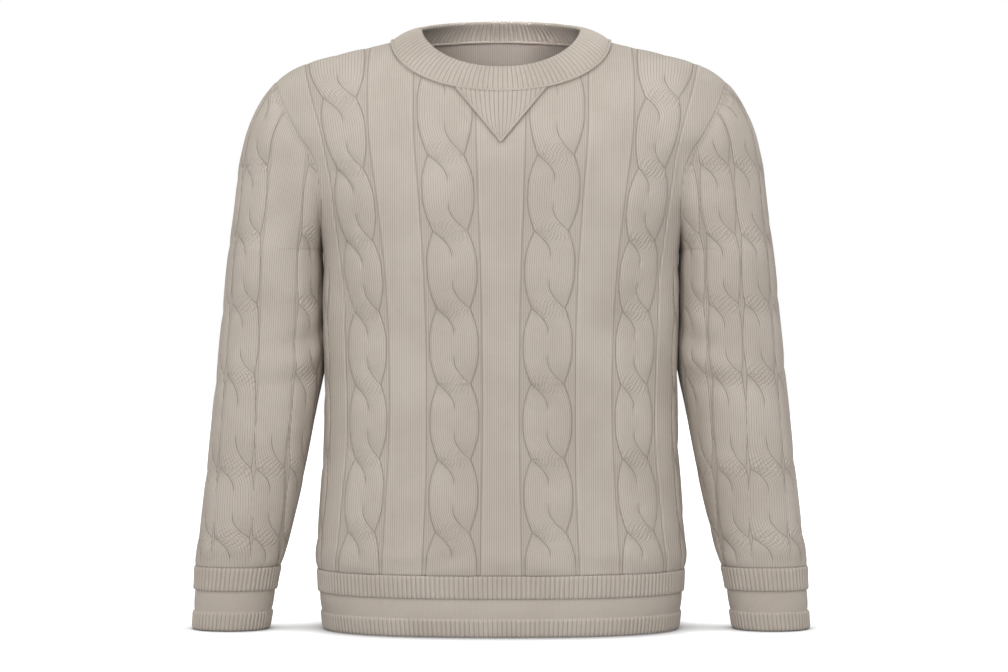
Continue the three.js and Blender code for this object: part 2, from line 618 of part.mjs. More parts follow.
// hand is 1 for the left sleeve, on the side of +X, and -1 for the right one.
function sleeve(name, hand) {
  const surface = new Surface();
  const mirrored = (p) => p.multiply(new THREE.Vector3(hand, 1, 1));
  const rulersAt = (z) => ({
    front: ruler((angle) => sleevePoint("front", angle, z), sleeveSection("front", z).end),
    back: ruler((angle) => sleevePoint("back", angle, z), sleeveSection("back", z).end),
  });
  const armpitRound = rulersAt(UNDERARM).front.total;
  // The places round one level, by their signed distance from the outer line.
  const levelStops = (z, rules) => {
    const halfRound = z < UNDERARM ? rules.front.total : armpitRound;
    const exact = cablePhase(SLEEVE_CROSSINGS, z);
    const phase = Math.abs(exact - Math.round(exact)) < 0.03 ? Math.round(exact) : exact;
    const stops = [];
    for (const cable of SLEEVE_CABLES) {
      const room = (cable.share < 0 ? rules.front.total : rules.back.total) - 3;
      const middle = cable.share * halfRound;
      if (Math.abs(middle) + SLEEVE_CABLE_HALF > room) continue;
      for (const [c, height] of cableStops(phase, hand, cable.fine))
        stops.push([middle + c * SLEEVE_CABLE_HALF, height * CABLE_HEIGHT]);
    }
    if (!stops.length) stops.push([0, 0]);
    const reach = Math.max(...stops.map(([distance]) => Math.abs(distance)));
    const free = rules.front.total - reach;
    const shares = free > 60 ? [0.35, 0.7] : free > 30 ? [0.5] : [];
    for (const t of shares) {
      stops.unshift([-reach - free * t, 0]);
      stops.push([reach + (rules.back.total - reach) * t, 0]);
    }
    return stops.sort((a, b) => a[0] - b[0]);
  };
  const vertex = (z, rules, distance, lift) => {
    const side = distance < 0 ? "front" : "back";
    const angle = rules[side].angle(Math.abs(distance));
    const p = sleevePoint(side, angle, z).addScaledVector(sleeveNormal(side, angle, z), lift);
    if (z === SLEEVE_ROWS[0]) p.z = z;
    return { at: distance, p: mirrored(p) };
  };
  const seamVertex = (side, k, lift) => {
    const seam = armholeSeam(side, k);
    const p = seam.point.clone().addScaledVector(seam.towardsSleeve, SEAM_TRIM);
    return mirrored(lift < 0 ? p.sub(seamWall(seam.sleeve, seam.panel)) : p);
  };
  const addRow = (rows, z, k, list, lift, rules) => {
    const [from, to] = [-rules.front.total, rules.back.total];
    const first = k === undefined ? vertex(z, rules, from, lift).p : seamVertex("front", k, lift);
    const points = [first, ...list.map((entry) => entry.p)];
    const at = [from, ...list.map((entry) => entry.at), to];
    if (k > 0) points.push(seamVertex("back", k, lift));
    rows.push({ ...(k > 0 ? surface.row(points, at) : surface.closed(points, at)), k });
  };
  const [outerRows, innerRows] = [[], []];
  const addLevel = (z, k, wantsInner) => {
    const rules = rulersAt(z);
    const fade = z === SLEEVE_ROWS[0] ? 0.5 : 1;
    const list = levelStops(z, rules).map(([distance, relief]) =>
      vertex(z, rules, distance, relief * fade),
    );
    addRow(outerRows, z, k, list, 0, rules);
    if (!wantsInner) return;
    const count = k === undefined ? 14 : Math.max(2, 2 * Math.ceil(rules.front.total / 26));
    const inside = steps(-rules.front.total, rules.back.total, count)
      .slice(1, -1)
      .map((distance) => vertex(z, rules, distance, -CLOTH));
    addRow(innerRows, z, k, inside, -CLOTH, rules);
  };
  SLEEVE_ROWS.forEach((z, i) => addLevel(z, undefined, i % 2 === 0));
  for (let k = 0; k < ARMHOLE_STEPS; k++) addLevel(armholeHeight(k), k, true);
  for (const [rows, lift] of [[outerRows, 0], [innerRows, -CLOTH]])
    rows.push({ ...surface.row([seamVertex("front", ARMHOLE_STEPS, lift)], [0]), k: ARMHOLE_STEPS });
  surface.joinUp(outerRows);
  surface.joinDown(innerRows);
  surface.join(innerRows[0], outerRows[0]);
  const loop = (rows) => {
    const cap = rows.filter((row) => row.k !== undefined);
    const down = cap.map((row) => leftEnd(row.index)).slice(0, -1);
    const index = [...cap.map((row) => rightEnd(row.index)), ...down.reverse()];
    return { index, at: index.map((_, i) => i) };
  };
  surface.join(loop(innerRows), loop(outerRows));
  if (hand < 0) surface.faces.forEach((face) => face.reverse());
  return surface.mesh(name);
}

// A closed ring of count points, from the point and normal at each share of the way round.
function ring(surface, count, placeAt, offset) {
  const points = [];
  for (let i = 0; i < count; i++) {
    const { p, n } = placeAt(i / count);
    points.push(p.addScaledVector(n, offset(i)));
  }
  return surface.closed(points, steps(0, 1, count));
}

// A welt of three strips from its top down: ribbed, plain and ribbed.
function welt(name, heights, ribs, plainCount, placeAt) {
  const surface = new Surface();
  const at = (z) => (share) => placeAt(z, share);
  const ribbed = (z) => ring(surface, 2 * ribs, at(z), (i) => (i % 2 ? RIB_LOW : RIB_HIGH));
  const plain = (z, out) => ring(surface, plainCount, at(z), () => out);
  const { top, upperEnd, lowerStart, bottom } = heights;
  const outer = [
    ribbed(bottom),
    ribbed(lowerStart - 0.6),
    plain(lowerStart, 0),
    plain(upperEnd, 0),
    ribbed(upperEnd + 0.6),
    ribbed(top),
  ];
  const inner = [plain(bottom, -CLOTH), plain(upperEnd, -CLOTH), plain(top, -CLOTH)];
  surface.joinUp(outer);
  surface.joinDown(inner);
  surface.join(inner[0], outer[0]);
  surface.join(outer[outer.length - 1], inner[inner.length - 1]);
  return surface.mesh(name);
}

// The places round the hem, from the left side seam over the back.
function hemPlace(z, share) {
  const back = ruler((angle) => torsoPoint("back", angle, z), Math.PI / 2);
  const front = ruler((angle) => torsoPoint("front", angle, z), Math.PI / 2);
  const way = share * 2 * (back.total + front.total);
  const behind = way < 2 * back.total;
  const rule = behind ? back : front;
  const fromMiddle = (behind ? way : way - 2 * back.total) - rule.total;
  const p = torsoPoint(behind ? "back" : "front", rule.angle(Math.abs(fromMiddle)), z);
  p.x *= Math.sign(fromMiddle) * (behind ? -1 : 1);
  return { p, n: torsoNormal(behind ? "back" : "front", p) };
}

const CUFF = [
  { z: -640, outer: 338, inner: 254.5, middle: -13, deep: 39.5 },
  { z: -619.5, outer: 337, inner: 251, middle: -13, deep: 40 },
  { z: -593, outer: 336.5, inner: 246.5, middle: -12.5, deep: 41 },
  { z: -571, outer: 337.5, inner: 241.3, middle: -12, deep: 42 },
];
const cuffColumn = Object.fromEntries(
  Object.keys(CUFF[0]).map((name) => [name, column(CUFF, name)]),
);
function cuffPlace(hand, z, share) {
  const [outer, inner] = [cuffColumn.outer(z), cuffColumn.inner(z)];
  const [middle, deep] = [cuffColumn.middle(z), cuffColumn.deep(z)];
  const rounded = (x) => Math.sign(x) * Math.abs(x) ** (2 / SLEEVE_POWER);
  const point = (angle) => {
    const x = (hand * (outer + inner)) / 2 + ((outer - inner) / 2) * rounded(Math.cos(angle));
    return new THREE.Vector3(x, middle + deep * rounded(Math.sin(angle)), z);
  };
  const rule = ruler(point, 2 * Math.PI);
  const angle = rule.angle(share * rule.total);
  const along = point(angle + 0.02).sub(point(angle - 0.02));
  return { p: point(angle), n: new THREE.Vector3(along.y, -along.x, 0).normalize() };
}

// The turns of the neckline's vertices, which the panels' upper rows give.
function neckTurns() {
  const turns = [Math.PI / 2, (3 * Math.PI) / 2];
  for (const side of ["back", "front"])
    for (const hand of [1, -1])
      for (const cell of halfRow(side, ROW_COUNT - 1, hand * -facing[side]))
        if (cell.x <= NECK_HALF_WIDTH) turns.push(neckTurn(side, cell.x, hand));
  const rounded = turns.map((turn) => Math.round((turn % (2 * Math.PI)) * 1e6) / 1e6);
  return [...new Set(rounded)].sort((a, b) => a - b);
}

function neckband(name) {
  const surface = new Surface();
  const turns = neckTurns();
  const base = (inside) => {
    const points = turns.map((turn) => {
      const { point, panel, band, towardsPanel } = neckSeam(turn);
      const p = point.clone().addScaledVector(towardsPanel, -SEAM_TRIM);
      return inside ? p.sub(seamWall(band, panel)) : p;
    });
    return surface.closed(points, [...turns, 2 * Math.PI]);
  };
  const around = ruler((angle) => bandPoint(angle, 0.3), 2 * Math.PI);
  const level = (count, v, offset) => {
    const turnAt = (share) => around.angle(share * around.total);
    const placeAt = (share) => ({ p: bandPoint(turnAt(share), v), n: bandNormal(turnAt(share), v) });
    return { ...ring(surface, count, placeAt, offset), at: steps(0, 1, count).map(turnAt) };
  };
  // ring() and this row share their vertices, so only the places differ.
  const ribbed = (v) => level(2 * BAND_RIBS, v, (i) => (i % 2 ? 0 : 1.2));
  const outer = [base(false), ribbed(0.09), ribbed(0.5), ribbed(0.93), level(48, 0.99, () => -0.7)];
  const inner = [base(true), level(48, 0.4, () => -CLOTH), level(48, 0.96, () => -CLOTH)];
  surface.joinUp(outer);
  surface.joinDown(inner);
  surface.join(outer[outer.length - 1], inner[inner.length - 1]);
  surface.join(inner[0], outer[0]);
  return surface.mesh(name);
}

// The ribbed V lies on the front panel, its rows one above another up to the collar's seam.
function neckInsert(name) {
  const surface = new Surface();
  const border = 0.09; // share of the half width under the raised border
  const ribs = steps(-1 + 1.6 * border, 1 - 1.6 * border, 2 * INSERT_RIBS);
  const shares = [-1, -1 + border, ...ribs, 1 - border, 1];
  const relief = (i) => {
    const fromEnd = Math.min(i, shares.length - 1 - i);
    if (fromEnd === 0) return 0.4;
    if (fromEnd === 1) return 1.7;
    return i % 2 ? 0.9 : 0;
  };
  const point = (down, share, lift) => {
    const x = Math.abs(share) * INSERT_HALF_WIDTH * (1 - down);
    const top = topHeight("front", Math.abs(share) * INSERT_HALF_WIDTH) - 1.4;
    const z = mix(top, INSERT_POINT, down);
    const p = torsoPoint("front", angleAcross(x, z), z);
    p.x *= Math.sign(share);
    return p.addScaledVector(torsoNormal("front", p), lift);
  };
  const rowsAt = [0.86, 0.6, 0.3, 0];
  const outer = rowsAt.map((down) => {
    const lift = (i) => INSERT_LIFT + INSERT_CLOTH + relief(i) * (1 - down / 2);
    return surface.row(shares.map((share, i) => point(down, share, lift(i))), shares);
  });
  const coarse = steps(-1, 1, 8);
  const inner = rowsAt.map((down) => surface.row(coarse.map((share) => point(down, share, INSERT_LIFT)), coarse));
  surface.joinUp(outer);
  surface.joinDown(inner);
  surface.closeEdges(inner, outer);
  return surface.mesh(name);
}

const hemRound = ["front", "back"]
  .map((side) => 2 * ruler((angle) => torsoPoint(side, angle, HEM_TOP), Math.PI / 2).total)
  .reduce((sum, length) => sum + length);
const HEM_RIBS = Math.round(hemRound / RIB_PITCH);
const CUFF_RIBS = Math.round(263 / CUFF_RIB_PITCH);
const HEM = { top: HEM_TOP - SEAM_TRIM, upperEnd: -598, lowerStart: -620.5, bottom: HEM_BOTTOM };
const CUFF_STRIPS = { top: SLEEVE_END - SEAM_TRIM, upperEnd: -593, lowerStart: -619.5, bottom: -638.5 };

const sweater = new THREE.Group();
sweater.name = "cable_knit_sweater";
sweater.add(
  bodyPanel("front", "front"),
  bodyPanel("back", "back"),
  sleeve("sleeve_left", 1),
  sleeve("sleeve_right", -1),
  welt("hem_band", HEM, HEM_RIBS, 60, hemPlace),
  welt("cuff_left", CUFF_STRIPS, CUFF_RIBS, 20, (z, share) => cuffPlace(1, z, share)),
  welt("cuff_right", CUFF_STRIPS, CUFF_RIBS, 20, (z, share) => cuffPlace(-1, z, share)),
  neckband("neckband"),
  neckInsert("neck_insert"),
);

export default sweater;
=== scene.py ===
# A crew-neck cable-knit sweater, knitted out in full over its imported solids.
# The forms below are worked out in millimetres, +Z up and the front towards -Y, and turned
# into metres where each mesh is made.
import math

import bpy
import numpy as np
from mathutils import Matrix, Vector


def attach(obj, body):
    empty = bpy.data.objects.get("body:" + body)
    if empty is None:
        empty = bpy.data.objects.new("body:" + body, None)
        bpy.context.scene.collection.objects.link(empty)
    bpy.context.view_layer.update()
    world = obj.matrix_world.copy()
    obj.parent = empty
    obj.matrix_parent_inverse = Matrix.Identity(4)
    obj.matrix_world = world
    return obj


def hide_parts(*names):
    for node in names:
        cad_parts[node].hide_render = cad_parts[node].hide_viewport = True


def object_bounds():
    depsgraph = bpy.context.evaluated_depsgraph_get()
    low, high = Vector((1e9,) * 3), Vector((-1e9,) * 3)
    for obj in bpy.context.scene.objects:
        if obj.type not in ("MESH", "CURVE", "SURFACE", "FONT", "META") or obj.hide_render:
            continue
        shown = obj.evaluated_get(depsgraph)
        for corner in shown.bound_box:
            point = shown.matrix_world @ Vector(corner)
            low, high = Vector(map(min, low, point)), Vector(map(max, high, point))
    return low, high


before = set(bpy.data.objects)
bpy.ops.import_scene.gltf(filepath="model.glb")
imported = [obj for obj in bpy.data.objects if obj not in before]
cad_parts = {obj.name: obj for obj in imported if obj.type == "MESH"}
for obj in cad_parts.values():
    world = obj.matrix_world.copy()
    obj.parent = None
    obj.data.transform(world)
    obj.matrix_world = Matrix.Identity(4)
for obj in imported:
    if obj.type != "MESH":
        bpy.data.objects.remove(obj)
CAD_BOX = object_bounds()

MM = 0.001

# Cloth
CLOTH = 2.2  # thickness of the plain knit
WALE = 2.4  # width of one column of stitches
COURSE = 1.9  # height of one row of stitches
CABLE_HEIGHT = 2.6
DITCH_DEPTH = 0.9  # of the purl ground either side of a cable
DITCH_EDGE = 1.14  # where that ground ends, in half widths of the cable
SEAM_PINCH = 1.0  # how far a linked seam draws the cloth in
BODY_SWELL = 1.3  # of the cloth above the hem
SLEEVE_SWELL = 1.2
WELT_FADE = 9  # above a welt the cables rise from WELT_SHARE of their height in this length
WELT_SHARE = 0.4
SEAM_FADE = 3  # beside a seam all relief dies away in this length
SWELL_RISE = 17  # from a welt to the middle of the swell above it
SWELL_REACH = 12
WELT_TUCK = 0.6  # how far the cloth goes in right above a welt
GULLY_PLACE = 2.0  # from the seam to the deepest line beside it
GULLY_REACH = 1.7
CREASE_BOW = 0.08  # of a crease's length, sideways at its middle
CREASE_ENDS = 0.35  # share of its height at both ends
NO_CABLE = 9.0  # the place across a cable of a stitch that lies in none
CABLE_LIMIT = 1.35  # how far out, in half widths, a cable's coordinates are kept

# Body
HEM_TOP = -574
UNDERARM = -225
SHOULDER_TIP = -41
LEVEL_TOP = -250
NECK_HALF_WIDTH = 119
NECK_SIDE_HEIGHT = 3
FRONT_NECK_DROP = 61
BACK_NECK_RISE = 7
CAP_REACH = {"front": 62, "back": 64}
FACING = {"front": -1, "back": 1}  # the sign of y
SECTION_POWER = 2.4

# Height, half width, and depth in front of and behind the side seams
TORSO = [
    (-640, 194, 115.5, 108),
    (-620, 196.5, 117, 110),
    (-598, 199, 118.5, 111.5),
    (-574, 201, 120, 113),
    (-540, 200.3, 119, 111),
    (-500, 197.5, 115, 107),
    (-445, 194, 111.5, 103),
    (-390, 192.5, 110.5, 102),
    (-335, 192.5, 112, 104.5),
    (-290, 193, 114.5, 108),
    (-225, 196, 117.5, 115),
    (-200, 201.5, 117.5, 117),
    (-172, 210.5, 116.5, 118),
    (-137, 226, 112, 117),
    (-120, 237, 108, 115),
    (-105, 249, 103, 113),
    (-85, 258, 94, 109),
    (-66, 258.5, 84, 103),
    (-48, 251.5, 72, 96),
    (-41, 246.5, 67, 93),
    (-28.5, 230, 58, 89),
    (-20.5, 211, 52, 86.5),
    (-9, 168, 43, 82.5),
    (3, 119, 33, 78),
    (10, 102, 26, 75),
    (14, 90, 22, 73),
]

# Height, outer edge, inner edge, middle, and depth in front and behind
SLEEVE = [
    (-571, 335, 241.3, -12, 42, 42),
    (-530, 329, 230, -10, 45, 45),
    (-462, 321.5, 214.5, -6, 50, 50),
    (-396, 315, 202, -2, 54, 54),
    (-355, 311, 193.8, 1, 56, 56),
    (-325, 308.5, 193.1, 3, 57.5, 57.5),
    (-296, 305.5, 193.4, 4, 59, 59),
    (-258, 302, 194.3, 3, 60.5, 61),
    (-240, 300, 195.4, 1.5, 61, 62),
    (-225, 298, 196.2, 0, 61.3, 63),
    (-207, 295.6, 195, 0, 61.5, 63.3),
    (-185, 292.6, 195, 0, 61.7, 63.6),
    (-152, 289, 195, 0, 61.9, 63.9),
    (-133, 286.8, 195, 0, 62, 64),
    (-108, 281.6, 195, 0, 62, 64),
    (-89, 275.5, 195, 0, 62, 64),
    (-72, 267.8, 195, 0, 62, 64),
    (-57, 258.8, 195, 0, 62, 64),
    (-41, 246.8, 195, 0, 62, 64),
]
SLEEVE_POWER = 2.15
ARMHOLE_STEPS = 12

# Cables
PINCH = 0.68  # a cable's width at a crossing, as a share of its full width
EDGE_REACH = 0.42  # share of the pitch in which the edge opens out from a crossing
GROOVE_REACH = 0.3  # the same for the line along the strand on top
INNER_CROSSINGS = [-528, -451, -371, -291, -209, -128, -26]
OUTER_CROSSINGS = [-529, -451, -372, -294, -218, -141, -64]
SLEEVE_CROSSINGS = [-538, -463, -361, -285, -210, -135, -60]
# Height, then middle and half width of the inner and of the outer cable
BODY_CABLES = [
    (-574, 52.8, 27, 152.5, 22.5),
    (-494, 50.5, 26, 147, 21),
    (-420, 49.4, 26, 142.5, 20.5),
    (-330, 49.8, 26, 143, 20.5),
    (-250, 51.8, 26.5, 148, 21),
    (-170, 56, 27.5, 157.5, 21.5),
    (-105, 59.5, 29, 167, 22.5),
    (-41, 60.5, 29.5, 177, 29),
    (14, 60.5, 29.5, 182, 35),
]
SIDE_CABLE_FROM_SEAM = 23
SIDE_CABLE_HALF = 18
SIDE_CABLE_TOP = LEVEL_TOP + 12  # it dies away below this height
SIDE_CABLE_FADE = 30
SIDE_CABLE_SHARE = 0.9
SLEEVE_CABLE_SPACING = 40
SLEEVE_CABLE_HALF = 19
SLEEVE_PINCH = 0.86
SLEEVE_CABLE_SHARE = 0.75  # how far its cables stand out, against those on the body
SLEEVE_DITCH_EDGE = 1.06
LATE_CABLE_FADE = 36
LATE_CABLE_START = -412  # on the -X sleeve the cable next to the middle one begins here
# Height, then how far round from the outer line towards the front the middle cable lies and
# its half width: the sleeve turns forwards on its way down.
MIDDLE_CABLE = [
    (-571, 65, 23.5),
    (-538, 64, 23.5),
    (-463, 62, 22.5),
    (-363, 60, 21),
    (-284, 60, 20),
    (-209, 57, 20),
    (-131, 49, 20),
    (-41, 46, 20),
]
SLEEVE_CABLES = [-2, -1, 0, 1, 2, 3, 4, 5]  # steps from the middle one, forwards negative

# Collar
BAND_TOP_HALF_WIDTH = 87
BAND_TOP_REACH = 60
BAND_TOP_SIDE_HEIGHT = 19
BAND_TOP_HEIGHT = {"front": -29, "back": 33}
BAND_BULGE = 2.4
BAND_HEIGHT = 36  # along its cloth, from base to top
BAND_WALES = 240  # columns of stitches round it
BAND_STEPS = 1441
BAND_RIBS = 120
BAND_RIB_HEIGHT = 1.1
INSERT_HALF_WIDTH = 50
INSERT_TOP = -57
INSERT_POINT = -114
INSERT_RIBS = 18
INSERT_RIB_HEIGHT = 1.3
INSERT_UPRIGHT = 0.85  # 1 where its ribs are parallel, 0 where they all run to its point

# Welts, each row a height, how far it stands out and its share of the ribs' height
HEM_RIBS = 205
CUFF_RIBS = 57
RIB_HEIGHT = 1.3
POINTS_PER_RIB = 6
HEM_ROWS = [
    (-639, -1.1, 0.2),
    (-638.3, 0, 0.7),
    (-636, 0.4, 1),
    (-632, 0.5, 1),
    (-628, 0.5, 1),
    (-624, 0.5, 1),
    (-622, 0.4, 1),
    (-621, 0.2, 0.8),
    (-620.2, -0.6, 0.2),
    (-619, -0.3, 0),
    (-616, 0.1, 0),
    (-612, 0.3, 0),
    (-607, 0.3, 0),
    (-602, 0, 0),
    (-599, -0.5, 0),
    (-598.3, -0.4, 0.3),
    (-597.7, 0.5, 0.9),
    (-596.4, 0.8, 1),
    (-593, 0.6, 1),
    (-589, 0.4, 1),
    (-585, 0.2, 1),
    (-581, 0.1, 1),
    (-577.5, 0, 1),
    (-575.4, -0.1, 0.8),
    (-574.2, -0.4, 0.4),
]
WELT_INSIDE = [0.02, 0.2, 0.4, 0.6, 0.8, 0.97]  # shares of the way down the inside
CUFF = [
    (-640, 337, 254.5, -13, 39.5),
    (-619.5, 335.7, 251, -13, 40),
    (-593, 334.7, 246.5, -12.5, 41),
    (-571, 335, 241.3, -12, 42),
]

# Creases: two ends as a place across and a height, the half width and how far it stands out.
# On the body the place is the distance to the +X side; on a sleeve it is the distance round
# from the outer line, the front being negative.
FRONT_CREASES = [
    (-190, -236, -118, -322, 15, -2.2),
    (-196, -262, -150, -372, 17, 2.0),
    (188, -240, 122, -312, 14, -1.9),
    (196, -270, 158, -384, 18, 2.2),
    (-178, -420, -120, -478, 20, -1.6),
    (182, -448, 108, -502, 19, -1.5),
    (-150, -560, -30, -548, 9, -1.2),
    (40, -550, 166, -562, 10, -1.3),
    (-96, -528, -10, -540, 13, 1.2),
    (-205, -190, -176, -120, 13, -1.6),
    (207, -188, 180, -110, 14, -1.7),
]
BACK_CREASES = [
    (-188, -240, -96, -330, 17, -2.4),
    (190, -236, 110, -318, 16, -2.0),
    (-40, -205, 60, -212, 20, 1.6),
    (-168, -452, -60, -500, 21, -1.8),
    (170, -430, 84, -492, 19, -1.5),
    (-140, -560, -10, -549, 10, -1.3),
    (30, -548, 160, -560, 10, -1.1),
    (-120, -70, -60, -52, 16, -1.4),
    (118, -66, 70, -50, 15, -1.2),
]
SLEEVE_CREASES = [
    (-175, -300, -96, -330, 11, -2.4),
    (-172, -324, -88, -352, 10, 1.8),
    (-168, -352, -70, -372, 10, -2.0),
    (-160, -262, -110, -292, 12, -1.8),
    (172, -306, 92, -338, 12, -2.2),
    (168, -340, 80, -366, 11, 1.7),
    (-140, -430, -60, -448, 13, -1.5),
    (138, -440, 54, -424, 13, -1.4),
    (-120, -548, 10, -558, 9, -1.6),
    (0, -552, 118, -546, 9, -1.5),
    (-96, -196, -30, -222, 15, -1.3),
]

CAMERA_DISTANCE = 3.0
SENSOR_WIDTH = 36
VIEW_WIDTH = 1.1088  # of the picture, in the plane of the side seams
VIEW_HEIGHT = -0.32  # of the lens
VIEW_SIDE = 0.0033  # of the lens, towards +X
FLOOR_GAP = 0.0005
FLOOR_HALF = 8.0


def clamp(value, low, high):
    return np.minimum(high, np.maximum(low, value))


def mix(a, b, t):
    return a + (b - a) * t


def smooth(t):
    c = clamp(t, 0.0, 1.0)
    return c * c * (3 - 2 * c)


def fade(distance, length, least=0.0):
    """Rises smoothly from its least value to one over a length."""
    return least + (1 - least) * smooth(distance / length)


def signed_power(value, power):
    return np.sign(value) * np.abs(value) ** power


def unit(vectors):
    length = np.linalg.norm(vectors, axis=-1, keepdims=True)
    return vectors / np.maximum(length, 1e-9)


def put_in_scene(name, data):
    made = bpy.data.objects.new(name, data)
    bpy.context.scene.collection.objects.link(made)
    return made


def column(table, place):
    """A smooth curve through one column of a table whose rows are in order of height."""
    heights = np.array([row[0] for row in table], float)
    values = np.array([row[place] for row in table], float)
    before = np.r_[0, np.arange(len(table) - 1)]
    after = np.r_[np.arange(1, len(table)), len(table) - 1]
    slopes = (values[after] - values[before]) / (heights[after] - heights[before])

    def at(height):
        h = clamp(np.asarray(height, float), heights[0], heights[-1])
        i = clamp(np.searchsorted(heights, h, side="left") - 1, 0, len(table) - 2)
        width = heights[i + 1] - heights[i]
        t = (h - heights[i]) / width
        u = 1 - t
        ends = values[i] * u * u * (1 + 2 * t) + values[i + 1] * t * t * (3 - 2 * t)
        return ends + width * t * u * (slopes[i] * u - slopes[i + 1] * t)

    return at


half_width = column(TORSO, 1)
depth = {"front": column(TORSO, 2), "back": column(TORSO, 3)}
sleeve_outer = column(SLEEVE, 1)
sleeve_inner = column(SLEEVE, 2)
sleeve_middle = column(SLEEVE, 3)
sleeve_depth = {"front": column(SLEEVE, 4), "back": column(SLEEVE, 5)}
cable_at = {
    "inner": (column(BODY_CABLES, 1), column(BODY_CABLES, 2)),
    "outer": (column(BODY_CABLES, 3), column(BODY_CABLES, 4)),
}


def torso_point(side, angle, z):
    across = np.abs(np.sin(angle)) ** (2 / SECTION_POWER)
    out = clamp(np.cos(angle), 0.0, 1.0) ** (2 / SECTION_POWER)
    out = np.where(angle > math.pi / 2 - 1e-7, 0.0, out)
    z = np.broadcast_to(z, across.shape)
    return np.stack([half_width(z) * across, FACING[side] * depth[side](z) * out, z], axis=-1)


def angle_across(x, z):
    return np.arcsin(clamp(x / half_width(z), 0.0, 1.0) ** (SECTION_POWER / 2))


def torso_normal(side, p):
    x, y, z = p[..., 0], p[..., 1], p[..., 2]
    a, b = half_width(z), depth[side](z)
    grow_a = half_width(z + 0.5) - half_width(z - 0.5)
    grow_b = depth[side](z + 0.5) - depth[side](z - 0.5)
    wide, deep = np.abs(x) / a, np.abs(y) / b
    n = SECTION_POWER
    up = -(wide**n) * grow_a / a - deep**n * grow_b / b
    normal = [np.sign(x) * wide ** (n - 1) / a, FACING[side] * deep ** (n - 1) / b, up]
    return unit(np.stack(normal, axis=-1))


ARM_MIDDLE = (SHOULDER_TIP + UNDERARM) / 2
ARM_HALF = SHOULDER_TIP - ARM_MIDDLE


def armhole_height(k):
    return ARM_MIDDLE + ARM_HALF * np.cos(math.pi * (1 - np.asarray(k, float) / ARMHOLE_STEPS))


def armhole_reach(side, z):
    cosine = clamp((z - ARM_MIDDLE) / ARM_HALF, -1.0, 1.0)
    return CAP_REACH[side] * np.sqrt(1 - cosine * cosine) ** 1.15


def armhole_angle(side, z):
    return np.arccos(clamp(armhole_reach(side, z) / depth[side](z), 0.0, 1.0) ** (SECTION_POWER / 2))


RIDGE_HEIGHTS = np.linspace(NECK_SIDE_HEIGHT, SHOULDER_TIP, 2001)
RIDGE_PLACES = half_width(RIDGE_HEIGHTS)


def top_height(side, x):
    """The height of a panel's upper edge: the neckline, then the shoulder's ridge."""
    x = np.asarray(x, float)
    rounding = clamp(1 - clamp(x / NECK_HALF_WIDTH, 0, 1) ** 2.1, 0.0, 1.0) ** (1 / 2.1)
    change = -FRONT_NECK_DROP * rounding if side == "front" else BACK_NECK_RISE * rounding**3
    ridge = np.interp(x, RIDGE_PLACES, RIDGE_HEIGHTS)
    return np.where(x < NECK_HALF_WIDTH, NECK_SIDE_HEIGHT + change, ridge)


def sleeve_section(side, z):
    """The left sleeve's level sections: middle, half width, depth and where they end."""
    outer, middle = sleeve_outer(z), sleeve_middle(z)
    low_half = (outer - sleeve_inner(z)) / 2
    reach = armhole_reach(side, z)
    seam = torso_point(side, armhole_angle(side, z), z)[..., 0]
    deep = np.where(z < ARM_MIDDLE, np.maximum(sleeve_depth[side](z), reach), np.maximum(reach, 0.01))
    wide = clamp(1 - (reach / deep) ** SLEEVE_POWER, 0.0, 1.0) ** (1 / SLEEVE_POWER)
    high_half = (outer - seam) / (1 + wide)
    below = z <= UNDERARM + 1e-6
    half = np.where(below, low_half, high_half)
    end = math.pi / 2 + np.arcsin(wide ** (SLEEVE_POWER / 2))
    return {
        "x": outer - half,
        "y": np.where(below, middle, 0.0),
        "half": half,
        "deep": np.where(below, sleeve_depth[side](z), deep),
        "end": np.where(below, math.pi, end),
    }


def sleeve_point(side, angle, z, section):
    along = signed_power(np.cos(angle), 2 / SLEEVE_POWER)
    across = clamp(np.sin(angle), 0.0, 1.0) ** (2 / SLEEVE_POWER)
    x = section["x"] + section["half"] * along
    y = section["y"] + FACING[side] * section["deep"] * across
    return np.stack([x, y, np.broadcast_to(z, x.shape)], axis=-1)


def sleeve_normal(side, angle, z):
    def at(turn, height):
        section = sleeve_section(side, height)
        return sleeve_point(side, turn, np.broadcast_to(height, turn.shape), section)

    low, high = np.maximum(z - 1, SLEEVE[0][0]), np.minimum(z + 1, SHOULDER_TIP - 0.2)
    around = at(np.minimum(angle + 0.02, math.pi), z) - at(np.maximum(angle - 0.02, 0.0), z)
    around = np.where(angle[..., None] < 1e-6, [0, FACING[side], 0], around)
    around = np.where(angle[..., None] > math.pi - 1e-6, [0, -FACING[side], 0], around)
    return unit(np.cross(around, at(angle, high) - at(angle, low)) * FACING[side])


def band_point(turn, v):
    """The collar: turn runs round from the left side over the back, v from base to top."""
    turn, v = np.broadcast_arrays(np.asarray(turn, float), np.asarray(v, float))
    cosine, sine = np.cos(turn), np.sin(turn)
    behind = sine >= 0
    x = np.minimum(NECK_HALF_WIDTH * np.abs(cosine), NECK_HALF_WIDTH)
    bases = []
    for side in ("front", "back"):
        z = top_height(side, x)
        bases.append(torso_point(side, angle_across(x, z), z))
    base = np.where(behind[..., None], bases[1], bases[0])
    base[..., 0] = NECK_HALF_WIDTH * cosine
    top_height_there = np.where(behind, BAND_TOP_HEIGHT["back"], BAND_TOP_HEIGHT["front"])
    top = np.stack(
        [
            BAND_TOP_HALF_WIDTH * signed_power(cosine, 0.95),
            BAND_TOP_REACH * signed_power(sine, 0.95),
            mix(BAND_TOP_SIDE_HEIGHT, top_height_there, np.abs(sine) ** 1.15),
        ],
        axis=-1,
    )
    out = unit(np.stack([cosine * 0.8, sine, np.full_like(sine, 0.75)], axis=-1))
    return mix(base, top, v[..., None]) + out * (BAND_BULGE * 4 * v * (1 - v))[..., None]


